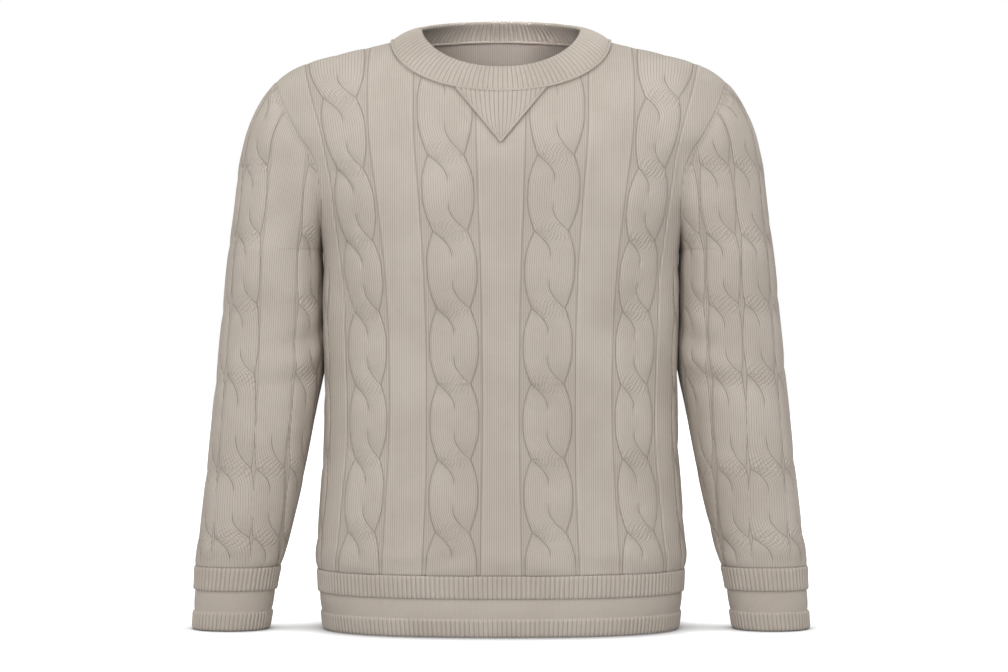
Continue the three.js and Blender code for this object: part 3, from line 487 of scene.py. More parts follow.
def band_normal(turn, v):
    turn, v = np.broadcast_arrays(np.asarray(turn, float), np.asarray(v, float))
    around = band_point(turn + 0.02, v) - band_point(turn - 0.02, v)
    upwards = band_point(turn, np.minimum(1, v + 0.05)) - band_point(turn, np.maximum(0, v - 0.05))
    return unit(np.cross(around, upwards))


# A cable, at places c across it and phases q up it, whole at its crossings. As seen from
# outside c grows to the right, and the strand on top runs from the upper left.
def cable_phase(crossings, z):
    heights = np.array(crossings, float)
    i = clamp(np.searchsorted(heights, z) - 1, 0, len(heights) - 2)
    return i + (z - heights[i]) / (heights[i + 1] - heights[i])


def cable_edges(q, above=None):
    """Half width of the cable and place of the line along its top strand."""
    near = np.abs(q - np.round(q))
    if above is None:
        above = np.sign(q - np.round(q))
    edge = mix(PINCH, 1, 1 - clamp(1 - near / EDGE_REACH, 0.0, 1.0) ** 1.7)
    return edge, above * PINCH * clamp(1 - near / GROOVE_REACH, 0.0, 1.0) ** 1.8


def cable_relief(c, q):
    """How far the knit stands out across a cable and the purl ground beside it."""
    away = q - np.round(q)
    near = np.abs(away)
    edge, groove = cable_edges(q)
    left = c < groove
    low, high = np.where(left, -edge, groove), np.where(left, groove, edge)
    across = clamp((c - low) / np.maximum(high - low, 1e-6), 0.0, 1.0)
    strand = (1 - np.abs(2 * across - 1) ** 2.6) ** 0.55
    lift = np.where(left == (away > 0), 1.0, mix(0.5, 1.0, smooth(near / 0.34)))
    narrow = clamp((high - low) / 0.9, 0.0, 1.0) ** 0.5
    twin = strand * lift * narrow
    single = clamp(1 - np.abs(c / edge) ** 3, 0.0, 1.0) ** 0.5
    height = mix(twin, np.maximum(twin, 0.9 * single), smooth((near - 0.28) / 0.16))
    out = np.abs(c)
    ground = smooth((DITCH_EDGE + 0.04 - out) / 0.08)
    wale_beside = 0.4 * np.exp(-(((out - DITCH_EDGE - 0.1) / 0.06) ** 2))
    return np.where(out < edge, height * CABLE_HEIGHT, 0) - ground * DITCH_DEPTH + wale_beside


def close_set(c, q):
    """Turns a place across a sleeve's cable, with its neighbours close by, into one on the body."""
    own, _ = cable_edges(q)
    near = np.abs(q - np.round(q))
    edge = mix(SLEEVE_PINCH, 1, 1 - clamp(1 - near / EDGE_REACH, 0.0, 1.0) ** 1.7)
    out = np.abs(c)
    beyond = own + (out - edge) * (DITCH_EDGE - own) / (SLEEVE_DITCH_EDGE - edge)
    return np.sign(c) * np.where(out < edge, out * own / edge, beyond)


def strand_wales(c, q, above, left, wales, half, pitch):
    """Wale and course of a stitch in one strand, which both turn with the strand."""
    edge, groove = cable_edges(q, above)
    low, high = np.where(left, -edge, groove), np.where(left, groove, edge)
    across = clamp((c - low) / np.maximum(high - low, 0.05), -0.2, 1.2)
    ahead_edge, ahead_groove = cable_edges(q + above * 0.02, above)
    ahead = np.where(left, ahead_groove - ahead_edge, ahead_groove + ahead_edge) / 2
    slant = clamp((ahead - (low + high) / 2) * half / (above * 0.02 * pitch), -1.2, 1.2)
    on_top = left == (above > 0)
    tilt = np.where(on_top, slant * 1.25, slant * 0.6) * (c - (low + high) / 2) * half / COURSE
    return wales * np.where(left, across - 1, across), tilt


def crease_field(creases, place, z):
    total = np.zeros(np.broadcast(place, z).shape)
    for x0, z0, x1, z1, width, height in creases:
        along = np.array([x1 - x0, z1 - z0], float)
        length = float(along @ along)
        t = clamp(((place - x0) * along[0] + (z - z0) * along[1]) / length, 0.0, 1.0)
        bow = CREASE_BOW * np.sin(math.pi * t) * math.sqrt(length)
        gap_x = place - x0 - t * along[0] - bow * along[1] / math.sqrt(length)
        gap_z = z - z0 - t * along[1] + bow * along[0] / math.sqrt(length)
        fall = np.exp(-(gap_x**2 + gap_z**2) / width**2)
        total += height * fall * (CREASE_ENDS + (1 - CREASE_ENDS) * np.sin(math.pi * t))
    return total


def blouse(place, z, foot, height):
    """The cloth swells a little above a welt, not quite evenly."""
    uneven = 1 + 0.3 * np.sin(place / 31 + 0.7) + 0.2 * np.sin(place / 13 + 2.1)
    swell = height * uneven * np.exp(-(((z - foot - SWELL_RISE) / SWELL_REACH) ** 2))
    return swell - WELT_TUCK * np.exp(-(((z - foot) / 3) ** 2))


def seam_gully(distance):
    """A linked seam draws the cloth in on both sides of the line where two pieces meet."""
    gully = np.exp(-(((distance - GULLY_PLACE) / GULLY_REACH) ** 2))
    return -SEAM_PINCH * gully * (1 - np.exp(-distance / 0.7))


def edge_distance(points, axis, from_end=False):
    """Length along the rows or columns of a grid from one of its edges."""
    steps = np.linalg.norm(np.diff(points, axis=axis), axis=-1)
    if from_end:
        steps = np.flip(steps, axis)
    zero = np.zeros_like(np.take(steps, [0], axis=axis))
    lengths = np.concatenate([zero, np.cumsum(steps, axis=axis)], axis=axis)
    return np.flip(lengths, axis) if from_end else lengths


def corners(grid):
    """The values at the four corners of each cell of a grid."""
    return np.stack([grid[:-1, :-1], grid[:-1, 1:], grid[1:, 1:], grid[1:, :-1]], axis=-1)


def corner_pairs(u, v):
    return np.stack([corners(u), corners(v)], axis=-1)


class Cloth:
    """Collects the outer and the inner face of a knitted piece and joins them at their rims."""

    def __init__(self):
        self.points = []
        self.count = 0
        self.faces = []
        self.wales = []
        self.cables = []

    def add_points(self, points):
        flat = points.reshape(-1, 3)
        ids = np.arange(self.count, self.count + len(flat)).reshape(points.shape[:-1])
        self.points.append(flat)
        self.count += len(flat)
        return ids

    def add_faces(self, ids, wales, cables):
        """Faces as rows of corners, with the stitch and the place in a cable at each corner."""
        for face, stitch, place in zip(ids.tolist(), wales.tolist(), cables.tolist()):
            kept = [i for i in range(len(face)) if face[i] != face[i - 1]]
            if len(kept) < 3:
                continue
            self.faces.append([face[i] for i in kept])
            self.wales.extend(stitch[i] for i in kept)
            self.cables.extend(place[i] for i in kept)

    def add_grid(self, ids, wales=None, cables=None, facing_in=False):
        quads = corners(ids).reshape(-1, 4)
        if wales is None:
            wales = np.zeros((len(quads), 4, 2))
        if cables is None:
            cables = np.full((len(quads), 4, 2), NO_CABLE)
        wales, cables = wales.reshape(-1, 4, 2), cables.reshape(-1, 4, 2)
        if facing_in:
            quads, wales, cables = quads[:, ::-1], wales[:, ::-1], cables[:, ::-1]
        self.add_faces(quads, wales, cables)

    def zip_rims(self, lower, upper):
        """Fills the strip between two rims, whatever their numbers of points."""
        i = j = 0
        last_lower, last_upper = len(lower) - 1, len(upper) - 1
        faces = []
        while i < last_lower or j < last_upper:
            if j == last_upper or (i < last_lower and (i + 0.5) / last_lower <= (j + 0.5) / last_upper):
                faces.append([lower[i], lower[i + 1], upper[j]])
                i += 1
            else:
                faces.append([lower[i], upper[j + 1], upper[j]])
                j += 1
        faces = np.array(faces)
        self.add_faces(faces, np.zeros(faces.shape + (2,)), np.full(faces.shape + (2,), NO_CABLE))

    def close_rims(self, inner, outer):
        """Joins the two faces of an open panel along its four edges."""
        self.zip_rims(inner[0], outer[0])
        self.zip_rims(inner[:, -1], outer[:, -1])
        self.zip_rims(inner[-1, ::-1], outer[-1, ::-1])
        self.zip_rims(inner[::-1, 0], outer[::-1, 0])

    def piece(self, name, mirrored=False):
        points = np.concatenate(self.points) * MM
        faces = self.faces
        wales, cables = np.array(self.wales), np.array(self.cables)
        if mirrored:
            points = points * np.array([-1, 1, 1])
            sizes = np.array([len(face) for face in faces])
            starts = np.cumsum(sizes) - sizes
            order = np.concatenate([np.arange(s + n - 1, s - 1, -1) for s, n in zip(starts, sizes)])
            faces = [face[::-1] for face in faces]
            wales, cables = wales[order], cables[order]
        mesh = bpy.data.meshes.new(name)
        mesh.from_pydata(points.tolist(), [], faces)
        for label, values in (("wales", wales), ("cable", cables)):
            layer = mesh.uv_layers.new(name=label)
            layer.data.foreach_set("uv", values.astype(np.float32).ravel())
        mesh.uv_layers["wales"].active_render = True
        mesh.shade_smooth()
        mesh.update()
        return put_in_scene(name, mesh)


# Materials
def new_group(name, kind, inputs, outputs):
    """An empty node group, its wiring, what it is given and what it puts out."""
    group = bpy.data.node_groups.new(name, kind)
    for label, socket_type, value in inputs:
        socket = group.interface.new_socket(name=label, in_out="INPUT", socket_type=socket_type)
        if value is not None:
            socket.default_value = value
    for label, socket_type in outputs:
        group.interface.new_socket(name=label, in_out="OUTPUT", socket_type=socket_type)
    given, out = group.nodes.new("NodeGroupInput"), group.nodes.new("NodeGroupOutput")
    return group, Wiring(group), given.outputs, out.inputs


class Wiring:
    """Places nodes in a tree and links them to each other."""

    def __init__(self, tree):
        self.tree = tree

    def node(self, kind, **settings):
        made = self.tree.nodes.new(kind)
        for name, value in settings.items():
            setattr(made, name, value)
        return made

    def feed(self, socket, value):
        if isinstance(value, bpy.types.NodeSocket):
            self.tree.links.new(value, socket)
        elif value is not None:
            socket.default_value = value

    def fed(self, kind, entries, **settings):
        """A node whose inputs, by name or number, are given with it."""
        made = self.node(kind, **settings)
        for key, value in entries.items():
            self.feed(made.inputs[key], value)
        return made

    def math(self, operation, *values):
        return self.fed("ShaderNodeMath", dict(enumerate(values)), operation=operation).outputs[0]

    def times(self, a, b):
        return self.math("MULTIPLY", a, b)

    def minus(self, a, b):
        return self.math("SUBTRACT", a, b)

    def size(self, value):
        return self.math("ABSOLUTE", value)

    def ramp(self, value, low, high, to_low=0.0, to_high=1.0):
        """A smooth step of a value from one number to another."""
        entries = {"Value": value, "From Min": low, "From Max": high, "To Min": to_low, "To Max": to_high}
        return self.fed("ShaderNodeMapRange", entries, interpolation_type="SMOOTHSTEP").outputs["Result"]

    def mixed(self, factor, a, b):
        return self.fed("ShaderNodeMix", {"Factor": factor, 6: a, 7: b}, data_type="RGBA").outputs[2]

    def uv_parts(self, label):
        source = self.node("ShaderNodeUVMap", uv_map=label)
        parts = self.fed("ShaderNodeSeparateXYZ", {0: source.outputs[0]})
        return parts.outputs[0], parts.outputs[1]

    def attribute(self, label, kind="FLOAT"):
        return self.fed("GeometryNodeInputNamedAttribute", {"Name": label}, data_type=kind).outputs[0]


FLOAT = "NodeSocketFloat"


def knit_stitches_group():
    """Columns of stitches, each a row of small Vs: how high the yarn lies, and its hollows, which the
    materials darken as painted shade.
    """
    inputs = [("Wale", FLOAT, 0.0), ("Course", FLOAT, 0.0), ("Slant", FLOAT, 0.55)]
    outputs = [("Height", FLOAT), ("Hollow Shade", FLOAT)]
    group, w, given, out = new_group("knit_stitches", "ShaderNodeTree", inputs, outputs)
    share = w.math("FRACT", given["Wale"])
    from_middle = w.size(w.minus(share, 0.5))
    leg = w.math("SINE", w.times(from_middle, 2 * math.pi))
    leg = w.math("POWER", w.math("MAXIMUM", leg, 0.0), 0.7)
    rise = w.times(from_middle, given["Slant"])
    turn = w.times(w.minus(given["Course"], rise), 2 * math.pi)
    loop = w.math("MULTIPLY_ADD", w.math("SINE", turn), 0.5, 0.5)
    height = w.times(leg, w.math("MULTIPLY_ADD", loop, 0.28, 0.72))
    # The hollows between the wales, which the materials darken as painted shade
    between = w.ramp(from_middle, 0.34, 0.5)
    w.feed(out["Height"], height)
    w.feed(out["Hollow Shade"], w.times(between, w.math("MULTIPLY_ADD", loop, -0.2, 1.0)))
    return group


def cable_lines_group():
    """The lines that edge the strands, the purl ground beside them, the crossings and the raised wale beyond
    that ground; the material darkens the lines and the ground as painted shade and lightens that wale as a
    painted highlight.
    """
    inputs = [
        ("Across", FLOAT, 0.0),
        ("Phase", FLOAT, 0.0),
        ("Pinch", FLOAT, PINCH),
        ("Edge Reach", FLOAT, EDGE_REACH),
        ("Groove Reach", FLOAT, GROOVE_REACH),
        ("Ditch Edge", FLOAT, DITCH_EDGE),
        ("Line Width", FLOAT, 0.045),
    ]
    outputs = [("Line", FLOAT), ("Ground", FLOAT), ("Crossing", FLOAT), ("Rim Highlight", FLOAT)]
    group, w, given, out = new_group("cable_lines", "ShaderNodeTree", inputs, outputs)
    across, width = given["Across"], given["Line Width"]
    away = w.minus(given["Phase"], w.math("ROUND", given["Phase"]))
    near = w.size(away)

    def opening(reach, power):
        left = w.math("MAXIMUM", w.minus(1.0, w.math("DIVIDE", near, reach)), 0.0)
        return w.math("POWER", left, power)

    closed = opening(given["Edge Reach"], 1.7)
    narrowing = w.minus(1.0, given["Pinch"])
    edge = w.minus(1.0, w.times(narrowing, closed))
    bend = w.times(opening(given["Groove Reach"], 1.8), given["Pinch"])
    groove = w.times(bend, w.math("SIGN", away))
    out_from_middle = w.size(across)

    def line_at(distance, width_there):
        return w.ramp(w.size(distance), width_there, 0.0)

    edge_line = line_at(w.minus(out_from_middle, edge), w.times(width, 1.25))
    inside = w.ramp(w.minus(edge, out_from_middle), -0.02, 0.02)
    groove_line = line_at(w.minus(across, groove), w.times(width, 1.1))
    fading = w.ramp(near, 0.4, 0.26)
    groove_line = w.times(w.times(groove_line, inside), fading)
    ditch_line = line_at(w.minus(out_from_middle, given["Ditch Edge"]), width)
    ditch_line = w.times(ditch_line, 0.9)
    # The lines along the strands' edges, the groove and the purl ground's edge: painted shade in the
    # material, and carved as a bump
    strongest = w.math("MAXIMUM", w.math("MAXIMUM", edge_line, ditch_line), groove_line)
    outside = w.minus(1.0, inside)
    # The purl ground beside a cable, which the material darkens a little as painted shade
    ground = w.times(outside, w.ramp(out_from_middle, 1.18, 1.1))
    top_side = w.times(w.minus(groove, across), w.math("SIGN", away))
    on_top = w.times(w.ramp(top_side, 0.0, 0.08), inside)
    crossing = w.times(w.ramp(near, 0.17, 0.08), on_top)
    # The raised wale beyond the purl ground, which the material lightens as a painted highlight
    rim_highlight = w.ramp(w.size(w.minus(out_from_middle, 1.235)), 0.05, 0.0)
    for label, value in (("Line", strongest), ("Ground", ground), ("Crossing", crossing), ("Rim Highlight", rim_highlight)):
        w.feed(out[label], value)
    return group


def cotton_yarn_group():
    """Fine fuzz of spun cotton, and the soft change of tone over a washed garment."""
    inputs = [("Fuzz Size", FLOAT, 1500.0), ("Cloud Size", FLOAT, 14.0)]
    outputs = [("Fuzz", FLOAT), ("Cloud", FLOAT)]
    group, w, given, out = new_group("cotton_yarn", "ShaderNodeTree", inputs, outputs)
    place = w.node("ShaderNodeTexCoord").outputs["Object"]
    for label, size, detail in (("Fuzz", "Fuzz Size", 3.0), ("Cloud", "Cloud Size", 4.0)):
        entries = {"Vector": place, "Scale": given[size], "Detail": detail}
        w.feed(out[label], w.fed("ShaderNodeTexNoise", entries).outputs["Fac"])
    return group


STITCHES = knit_stitches_group()
LINES = cable_lines_group()
YARN = cotton_yarn_group()

# The yarn's colour, a lighter tone for its clouds and a painted highlight, a darker one for its fuzz,
# patterns and painted shade, and the darkest for painted shade in the hollows and lines
GREIGE = (0.475, 0.419, 0.363, 1.0)
GREIGE_LIGHT = (0.54, 0.483, 0.425, 1.0)
GREIGE_SHADE = (0.33, 0.281, 0.237, 1.0)
GREIGE_DEEP_SHADE = (0.17, 0.14, 0.115, 1.0)


def placed(w, group, **values):
    made = w.node("ShaderNodeGroup", node_tree=group)
    for label, value in values.items():
        w.feed(made.inputs[label.replace("_", " ")], value)
    return made.outputs


def cotton_base(name):
    """A material of matte spun cotton, with its yarn placed, ready for its pattern."""
    material = bpy.data.materials.new(name)
    material.use_nodes = True
    w = Wiring(material.node_tree)
    shader = material.node_tree.nodes["Principled BSDF"]
    for label, value in (("Sheen Weight", 0.06), ("Sheen Roughness", 0.6), ("Specular IOR Level", 0.25)):
        shader.inputs[label].default_value = value
    yarn = placed(w, YARN)
    tone = w.mixed(w.ramp(yarn["Cloud"], 0.3, 0.7), GREIGE, GREIGE_LIGHT)
    tone = w.mixed(w.times(w.ramp(yarn["Fuzz"], 0.62, 0.3), 0.22), tone, GREIGE_SHADE)
    w.feed(shader.inputs["Roughness"], w.ramp(yarn["Fuzz"], 0.2, 0.8, 0.86, 0.98))
    return material, w, shader, yarn, tone


def finish_bump(w, shader, yarn, heights):
    """Bumps one over another and the yarn's fuzz, each with its height, depth and strength."""
    normal = None
    for height, distance, strength in heights + [(yarn["Fuzz"], 0.0002, 0.4)]:
        entries = {"Distance": distance, "Strength": strength, "Height": height, "Normal": normal}
        normal = w.fed("ShaderNodeBump", entries).outputs["Normal"]
    w.feed(shader.inputs["Normal"], normal)


def cable_knit_material():
    material, w, shader, yarn, tone = cotton_base("cable_knit_cotton")
    wale, course = w.uv_parts("wales")
    across, phase = w.uv_parts("cable")
    stitches = placed(w, STITCHES, Wale=wale, Course=course)
    lines = placed(w, LINES, Across=across, Phase=phase)
    crossing_stitches = w.times(w.math("SINE", w.times(course, math.pi)), lines["Crossing"])
    # Painted shade in the hollows between the wales
    tone = w.mixed(w.times(stitches["Hollow Shade"], 0.62), tone, GREIGE_DEEP_SHADE)
    # Painted shade on the purl ground beside the cables
    tone = w.mixed(w.times(lines["Ground"], 0.18), tone, GREIGE_SHADE)
    # Painted highlight on the raised wale beyond the purl ground
    tone = w.mixed(w.times(lines["Rim Highlight"], 0.3), tone, GREIGE_LIGHT)
    tone = w.mixed(w.times(w.ramp(crossing_stitches, 0.1, 0.9), 0.25), tone, GREIGE_SHADE)
    # Painted shade along the strands' edges, the groove on the top strand and the purl ground's edge
    tone = w.mixed(w.times(lines["Line"], 0.44), tone, GREIGE_DEEP_SHADE)
    w.feed(shader.inputs["Base Color"], tone)
    carved = (w.times(lines["Line"], -1.0), 0.0008, 0.5)
    raised = [(height, 0.0005, 0.5) for height in (stitches["Height"], crossing_stitches)]
    finish_bump(w, shader, yarn, [carved, *raised])
    return material


def ribbed_material():
    material, w, shader, yarn, tone = cotton_base("ribbed_cotton")
    wale, course = w.uv_parts("wales")
    across, strip = w.uv_parts("cable")
    stitches = placed(w, STITCHES, Wale=wale, Course=course)
    share = w.math("FRACT", across)
    # Painted shade in the valleys between the ribs
    rib_valley_shade = w.ramp(w.size(w.minus(share, 0.5)), 0.22, 0.02)
    rib_valley_shade = w.times(rib_valley_shade, strip)
    # Painted shade in the hollows between the wales, then darker in the valleys between the ribs
    tone = w.mixed(w.times(stitches["Hollow Shade"], 0.55), tone, GREIGE_SHADE)
    tone = w.mixed(w.times(rib_valley_shade, 0.36), tone, GREIGE_DEEP_SHADE)
    w.feed(shader.inputs["Base Color"], tone)
    finish_bump(w, shader, yarn, [(stitches["Height"], 0.0006, 0.5)])
    return material


def linking_material():
    material, w, shader, yarn, tone = cotton_base("linking_yarn")
    entries = {"Vector": w.node("ShaderNodeTexCoord").outputs["Object"], "Scale": 900.0, "Distortion": 2.0}
    ply = w.fed("ShaderNodeTexWave", entries, wave_type="BANDS", bands_direction="DIAGONAL").outputs["Fac"]
    w.feed(shader.inputs["Base Color"], w.mixed(w.times(ply, 0.25), tone, GREIGE_SHADE))
    finish_bump(w, shader, yarn, [(ply, 0.0003, 0.4)])
    return material


CABLE_KNIT = cable_knit_material()
RIBBED = ribbed_material()
LINKING = linking_material()


# Geometry Nodes
GEOMETRY = "NodeSocketGeometry"
SHAPE_OUT = [("Geometry", GEOMETRY)]


def welt_ribs_tree():
    """Raises ribs on cloth whose points know their place round it and their share of height."""
    inputs = [
        ("Geometry", GEOMETRY, None),
        ("Rib Count", FLOAT, 100.0),
        ("Rib Height", FLOAT, 0.001),
        ("Roundness", FLOAT, 0.8),
        ("Material", "NodeSocketMaterial", None),
    ]
    tree, w, given, out = new_group("welt_ribs", "GeometryNodeTree", inputs, SHAPE_OUT)
    turn = w.times(w.times(w.attribute("around"), given["Rib Count"]), math.pi)
    ridge = w.math("POWER", w.size(w.math("COSINE", turn)), given["Roundness"])
    ridge = w.times(ridge, given["Rib Height"])
    normal = w.node("GeometryNodeInputNormal").outputs[0]
    entries = {0: normal, "Scale": w.times(ridge, w.attribute("rib_share"))}
    offset = w.fed("ShaderNodeVectorMath", entries, operation="SCALE").outputs[0]
    entries = {"Geometry": given["Geometry"], "Offset": offset}
    finish_tree(w, w.fed("GeometryNodeSetPosition", entries).outputs[0], given, out)
    return tree


def linking_stitches_tree():
    """Slanted stitches one after another along a path, standing on its outward side."""
    inputs = [
        ("Geometry", GEOMETRY, None),
        ("Spacing", FLOAT, 0.0024),
        ("Length", FLOAT, 0.0034),
        ("Width", FLOAT, 0.0016),
        ("Height", FLOAT, 0.0014),
        ("Slant", FLOAT, 0.5),
        ("Material", "NodeSocketMaterial", None),
    ]
    tree, w, given, out = new_group("linking_stitches", "GeometryNodeTree", inputs, SHAPE_OUT)
    path = w.fed("GeometryNodeMeshToCurve", {0: given["Geometry"]}).outputs[0]
    entries = {"Curve": path, "Length": given["Spacing"]}
    even = w.fed("GeometryNodeResampleCurve", entries, mode="LENGTH").outputs[0]
    tangent = w.node("GeometryNodeInputTangent").outputs[0]
    turned = w.fed("FunctionNodeAlignRotationToVector", {"Vector": tangent}, axis="X").outputs[0]
    entries = {"Rotation": turned, "Vector": w.attribute("outward", "FLOAT_VECTOR")}
    turned = w.fed("FunctionNodeAlignRotationToVector", entries, axis="Z", pivot_axis="X").outputs[0]
    entries = {"Axis": (0, 0, 1), "Angle": given["Slant"]}
    entries = {"Rotation": turned, "Rotate By": w.fed("FunctionNodeAxisAngleToRotation", entries).outputs[0]}
    turned = w.fed("FunctionNodeRotateRotation", entries, rotation_space="LOCAL").outputs[0]
    loop = w.fed("GeometryNodeMeshUVSphere", {"Segments": 7, "Rings": 5, "Radius": 0.5}).outputs["Mesh"]
    sizes = [given[label] for label in ("Length", "Width", "Height")]
    size = w.fed("ShaderNodeCombineXYZ", dict(enumerate(sizes))).outputs[0]
    entries = {"Points": even, "Instance": loop, "Rotation": turned, "Scale": size}
    finish_tree(w, w.fed("GeometryNodeInstanceOnPoints", entries).outputs[0], given, out)
    return tree


def finish_tree(w, geometry, given, out):
    single = w.fed("GeometryNodeRealizeInstances", {0: geometry}).outputs[0]
    rounded = w.fed("GeometryNodeSetShadeSmooth", {0: single}).outputs[0]
    entries = {"Geometry": rounded, "Material": given["Material"]}
    w.feed(out[0], w.fed("GeometryNodeSetMaterial", entries).outputs[0])


def grown(piece, tree, **values):
    """Runs a tree on a piece and keeps its result as the piece's plain mesh."""
    modifier = piece.modifiers.new(tree.name, "NODES")
    modifier.node_group = tree
    for label, value in values.items():
        wanted = label.replace("_", " ")
        for item in tree.interface.items_tree:
            if item.item_type == "SOCKET" and item.in_out == "INPUT" and item.name == wanted:
                modifier[item.identifier] = value
    shapes = bpy.context.evaluated_depsgraph_get()
    made = bpy.data.meshes.new_from_object(piece.evaluated_get(shapes), depsgraph=shapes)
    piece.modifiers.remove(modifier)
    made.name = piece.name
    piece.data = made
    return piece


def point_values(piece, name, values):
    kind, field = ("FLOAT_VECTOR", "vector") if values.ndim == 2 else ("FLOAT", "value")
    entry = piece.data.attributes.new(name, kind, "POINT")
    entry.data.foreach_set(field, values.astype(np.float32).ravel())


WELT_RIBS = welt_ribs_tree()
LINKING_STITCHES = linking_stitches_tree()


# Body panels
HALF_COLUMNS = [9, 36, 10, 8, 30, 44]  # from the middle out to the side seam or the armhole
LEVEL_COUNT = 136
UPPER_COUNT = 118
INNER_ROWS = 7  # rows of the outer face to each row of the plain inner one
INNER_COLUMNS = 6
TOP_CROWDING = 0.25  # share of the upper rows that draw together below the shoulder's ridge
UNDER_ARMHOLE = 1 / (ARMHOLE_STEPS + 1)  # share of the upper rows below the armhole
# Across from the middle, where the height of each cable's rows is read
READ_AT = {"inner": 60, "outer": 174}
READ_WIDE = 1.2  # half widths of a cable with its purl ground
# Wales across a strand and half width of each cable for the slant of its stitches
STRANDS = {"inner": (11, 27), "outer": (9, 22), "side": (8, SIDE_CABLE_HALF)}
BODY_PITCH = 78
SLEEVE_WALES = 8
SLEEVE_PITCH = 76


def upper_shares():
    t = np.arange(1, UPPER_COUNT + 1) / UPPER_COUNT
    even = 1 - TOP_CROWDING
    crowded = t - clamp(t - even, 0.0, 1.0) ** 2 / (2 * TOP_CROWDING)
    return crowded / (1 - TOP_CROWDING / 2)


def panel_half(side):
    """Angles and heights of the vertices of half a panel, from the middle outwards."""
    shares = np.r_[np.zeros(LEVEL_COUNT), upper_shares()]
    levels = np.r_[np.linspace(HEM_TOP, LEVEL_TOP, LEVEL_COUNT), np.full(UPPER_COUNT, LEVEL_TOP)]

    def height_at(x):
        return mix(levels, top_height(side, x), shares)

    keys = [np.zeros(len(levels))]
    for name, nearby in READ_AT.items():
        middle, half = (curve(height_at(np.full(len(levels), nearby))) for curve in cable_at[name])
        keys += [middle - READ_WIDE * half, middle + READ_WIDE * half]
    corner = mix(mix(keys[2], keys[3], 0.55), NECK_HALF_WIDTH, smooth(shares))
    keys.insert(3, corner)
    across = [keys[0][:, None]]
    for i, count in enumerate(HALF_COLUMNS[:-1]):
        t = np.arange(1, count + 1) / count
        if i == 2:
            t = 1 - (1 - t) ** 1.7
        across.append(mix(keys[i][:, None], keys[i + 1][:, None], t))
    x = np.concatenate(across, axis=1)
    z = mix(levels[:, None], top_height(side, x), shares[:, None])
    angle = angle_across(x, z)
    angle[-1, x[-1] >= NECK_HALF_WIDTH - 1e-6] = math.pi / 2
    k = clamp((shares - UNDER_ARMHOLE) * (ARMHOLE_STEPS + 1), 0.0, ARMHOLE_STEPS)
    on_armhole = shares > UNDER_ARMHOLE
    below = mix(levels, UNDERARM, clamp(shares * (ARMHOLE_STEPS + 1), 0.0, 1.0))
    seam_z = np.where(on_armhole, armhole_height(k), below)
    seam_angle = np.where(on_armhole, armhole_angle(side, seam_z), math.pi / 2)
    seam_angle[-1] = math.pi / 2
    t = np.arange(1, HALF_COLUMNS[-1] + 1) / HALF_COLUMNS[-1]
    out_angle = mix(angle[:, -1:], seam_angle[:, None], t)
    out_z = mix(z[:, -1:], seam_z[:, None], t)
    return np.concatenate([angle, out_angle], axis=1), np.concatenate([z, out_z], axis=1)


def body_panel(name, side, creases):
    angle, z = panel_half(side)
    base = torso_point(side, angle, z)
    normals = torso_normal(side, base)
    from_seam, from_top = edge_distance(base, 1, True), edge_distance(base, 0, True)
    x = base[..., 0]
    places = {label: (x - middle(z)) / half(z) for label, (middle, half) in cable_at.items()}
    places["side"] = (SIDE_CABLE_FROM_SEAM - from_seam) / SIDE_CABLE_HALF
    right = -FACING[side]
    halves = []
    for twist in (-1, 1):
        relief = np.zeros_like(x)
        cables = []
        for cable, out in places.items():
            phase = cable_phase(INNER_CROSSINGS if cable == "inner" else OUTER_CROSSINGS, z)
            top = SIDE_CABLE_TOP - 6 if cable == "side" else math.inf
            cables.append((out * twist, phase, *STRANDS[cable], BODY_PITCH, top))
            part = cable_relief(out * twist, phase) * fade(z - HEM_TOP, WELT_FADE, WELT_SHARE)
            part *= fade(from_top, 5) * fade(from_top, 50, 0.3)
            if cable == "side":
                part *= fade(SIDE_CABLE_TOP - z, SIDE_CABLE_FADE) * fade(from_seam, SEAM_FADE)
                part *= SIDE_CABLE_SHARE
            if side == "front":
                under = INSERT_HALF_WIDTH * (z - INSERT_POINT + 8) / (INSERT_TOP - INSERT_POINT) + 4
                part *= fade(x - under, 6)
            relief += part
        place = x * right * twist
        relief += crease_field(creases, place, z) * fade(from_seam, 14) * fade(from_top, 14)
        relief += blouse(place * 1.3, z, HEM_TOP, BODY_SWELL)
        relief *= fade(from_seam, SEAM_FADE)
        relief += seam_gully(from_seam) + 0.7 * seam_gully(from_top)
        hand = np.array([right * twist, 1, 1])
        faces = ((base + normals * relief[..., None]) * hand, (base - normals * CLOTH) * hand)
        halves.append((faces, stitch_maps(x * twist / WALE, z, cables)))
    (left_faces, left_maps), (right_faces, right_maps) = halves
    points, inside = (np.concatenate([a[:, :0:-1], b], axis=1) for a, b in zip(left_faces, right_faces))
    turned = [grid[:, ::-1][:, :, [1, 0, 3, 2]] for grid in left_maps]
    cloth = Cloth()
    ids = cloth.add_points(points)
    cloth.add_grid(ids, *(np.concatenate(pair, axis=1) for pair in zip(turned, right_maps)))
    rows = np.unique(np.r_[np.arange(0, ids.shape[0], INNER_ROWS), ids.shape[0] - 1])
    columns = np.unique(np.r_[0, np.arange(3, ids.shape[1] - 3, INNER_COLUMNS), ids.shape[1] - 1])
    inside = inside[np.ix_(rows, columns)]
    inner = cloth.add_points(inside)
    cloth.add_grid(inner, corner_pairs(inside[..., 0] / WALE, inside[..., 2] / COURSE), facing_in=True)
    cloth.close_rims(inner, ids)
    return cloth.piece(name)


